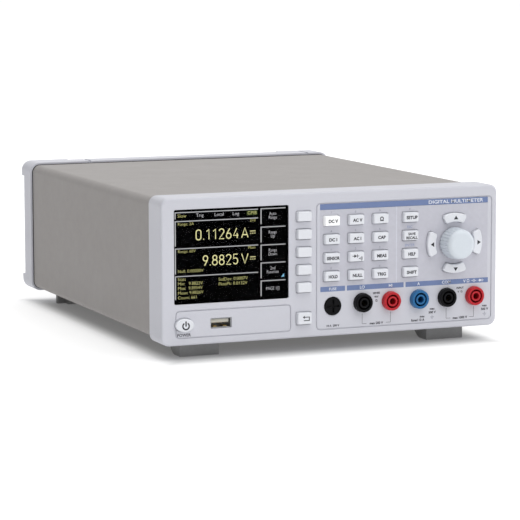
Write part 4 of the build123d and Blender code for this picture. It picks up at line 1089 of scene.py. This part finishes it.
# The floor's own light: under the object and away from it, how far inside the object's outline
# it starts to rise, and over what distance it rises.
FLOOR_GLOW_UNDER, FLOOR_GLOW_AWAY = 0.12, 0.6
FLOOR_GLOW_START = 14 * MM
FLOOR_GLOW_SPREAD = 22 * MM
# Strength of the surroundings along two axes: axis, start, end, strength at the start and end.
WORLD_LEVELS = (("Y", -0.2, 0.5, 0.64, 1.03), ("X", -1.0, 0.0, 0.08, 1.0))
SUN_ENERGY = 1.6
SUN_ANGLE = math.radians(60)
SUN_FROM = Vector((0.18, -0.45, 1.0))
SENSOR_WIDTH = 36.0
LENS = 171.238
CAMERA_PLACE = (-0.60835, FRONT - 1.35438, BASE + 0.23865)
CAMERA_TURN = (math.radians(82.6188), math.radians(0.0804), math.radians(-22.4813))


def studio_floor():
    """Pale matt sheet with painted light: it glows a little, more away from the object, to keep
    the shadow short.
    """
    material, nodes, links, shader = new_material("floor_surface")
    coords = object_coords(nodes)
    split = nodes.new("ShaderNodeSeparateXYZ")
    links.new(coords, split.inputs["Vector"])
    past = []
    for axis, half in (("X", cad_high.x), ("Y", cad_high.y)):
        reach = maths(nodes, links, "ABSOLUTE", split.outputs[axis])
        past.append(maths(nodes, links, "SUBTRACT", reach, half - FLOOR_GLOW_START))
    farther = maths(nodes, links, "MAXIMUM", *past)
    levels = (FLOOR_GLOW_UNDER, FLOOR_GLOW_AWAY, 0.0, FLOOR_GLOW_SPREAD)
    glow = spread(nodes, links, farther, *levels, smooth=True)
    links.new(glow, shader.inputs["Emission Strength"])
    shader.inputs["Emission Color"].default_value = PURE_WHITE
    paper = noise(nodes, links, coords, 60.0)
    tone = ramp(nodes, links, paper, (0.49, 0.49, 0.49), (0.51, 0.51, 0.51))
    links.new(tone, shader.inputs["Base Color"])
    links.new(spread(nodes, links, paper, 0.7, 0.8), shader.inputs["Roughness"])
    return material


floor_mesh = bpy.data.meshes.new("floor")
floor_work = bmesh.new()
bmesh.ops.create_grid(floor_work, x_segments=2, y_segments=2, size=FLOOR_HALF)
floor_work.to_mesh(floor_mesh)
floor_work.free()
floor = bpy.data.objects.new("floor", floor_mesh)
bpy.context.scene.collection.objects.link(floor)
floor_mesh.materials.append(studio_floor())


def studio_world():
    """Pale surroundings, brightest behind the object and dimmer at its left."""
    world = bpy.data.worlds.new("studio")
    world.use_nodes = True
    nodes = world.node_tree.nodes
    links = world.node_tree.links
    background = nodes["Background"]
    split = nodes.new("ShaderNodeSeparateXYZ")
    links.new(nodes.new("ShaderNodeTexCoord").outputs["Generated"], split.inputs["Vector"])
    levels = []
    for axis, start, end, low, high in WORLD_LEVELS:
        levels.append(spread(nodes, links, split.outputs[axis], low, high, start, end))
    strength = maths(nodes, links, "MULTIPLY", *levels)
    links.new(strength, background.inputs["Strength"])
    background.inputs["Color"].default_value = PURE_WHITE
    bpy.context.scene.world = world


studio_world()
sun_data = bpy.data.lights.new("soft_sun", "SUN")
sun_data.energy = SUN_ENERGY
sun_data.angle = SUN_ANGLE
sun = bpy.data.objects.new("soft_sun", sun_data)
bpy.context.scene.collection.objects.link(sun)
sun.rotation_euler = SUN_FROM.to_track_quat("Z", "Y").to_euler()

camera_data = bpy.data.cameras.new("camera")
camera_data.sensor_width = SENSOR_WIDTH
camera_data.lens = LENS
camera = bpy.data.objects.new("camera", camera_data)
bpy.context.scene.collection.objects.link(camera)
camera.location = CAMERA_PLACE
camera.rotation_euler = CAMERA_TURN
bpy.context.scene.camera = camera
bpy.context.scene.view_settings.view_transform = "Standard"
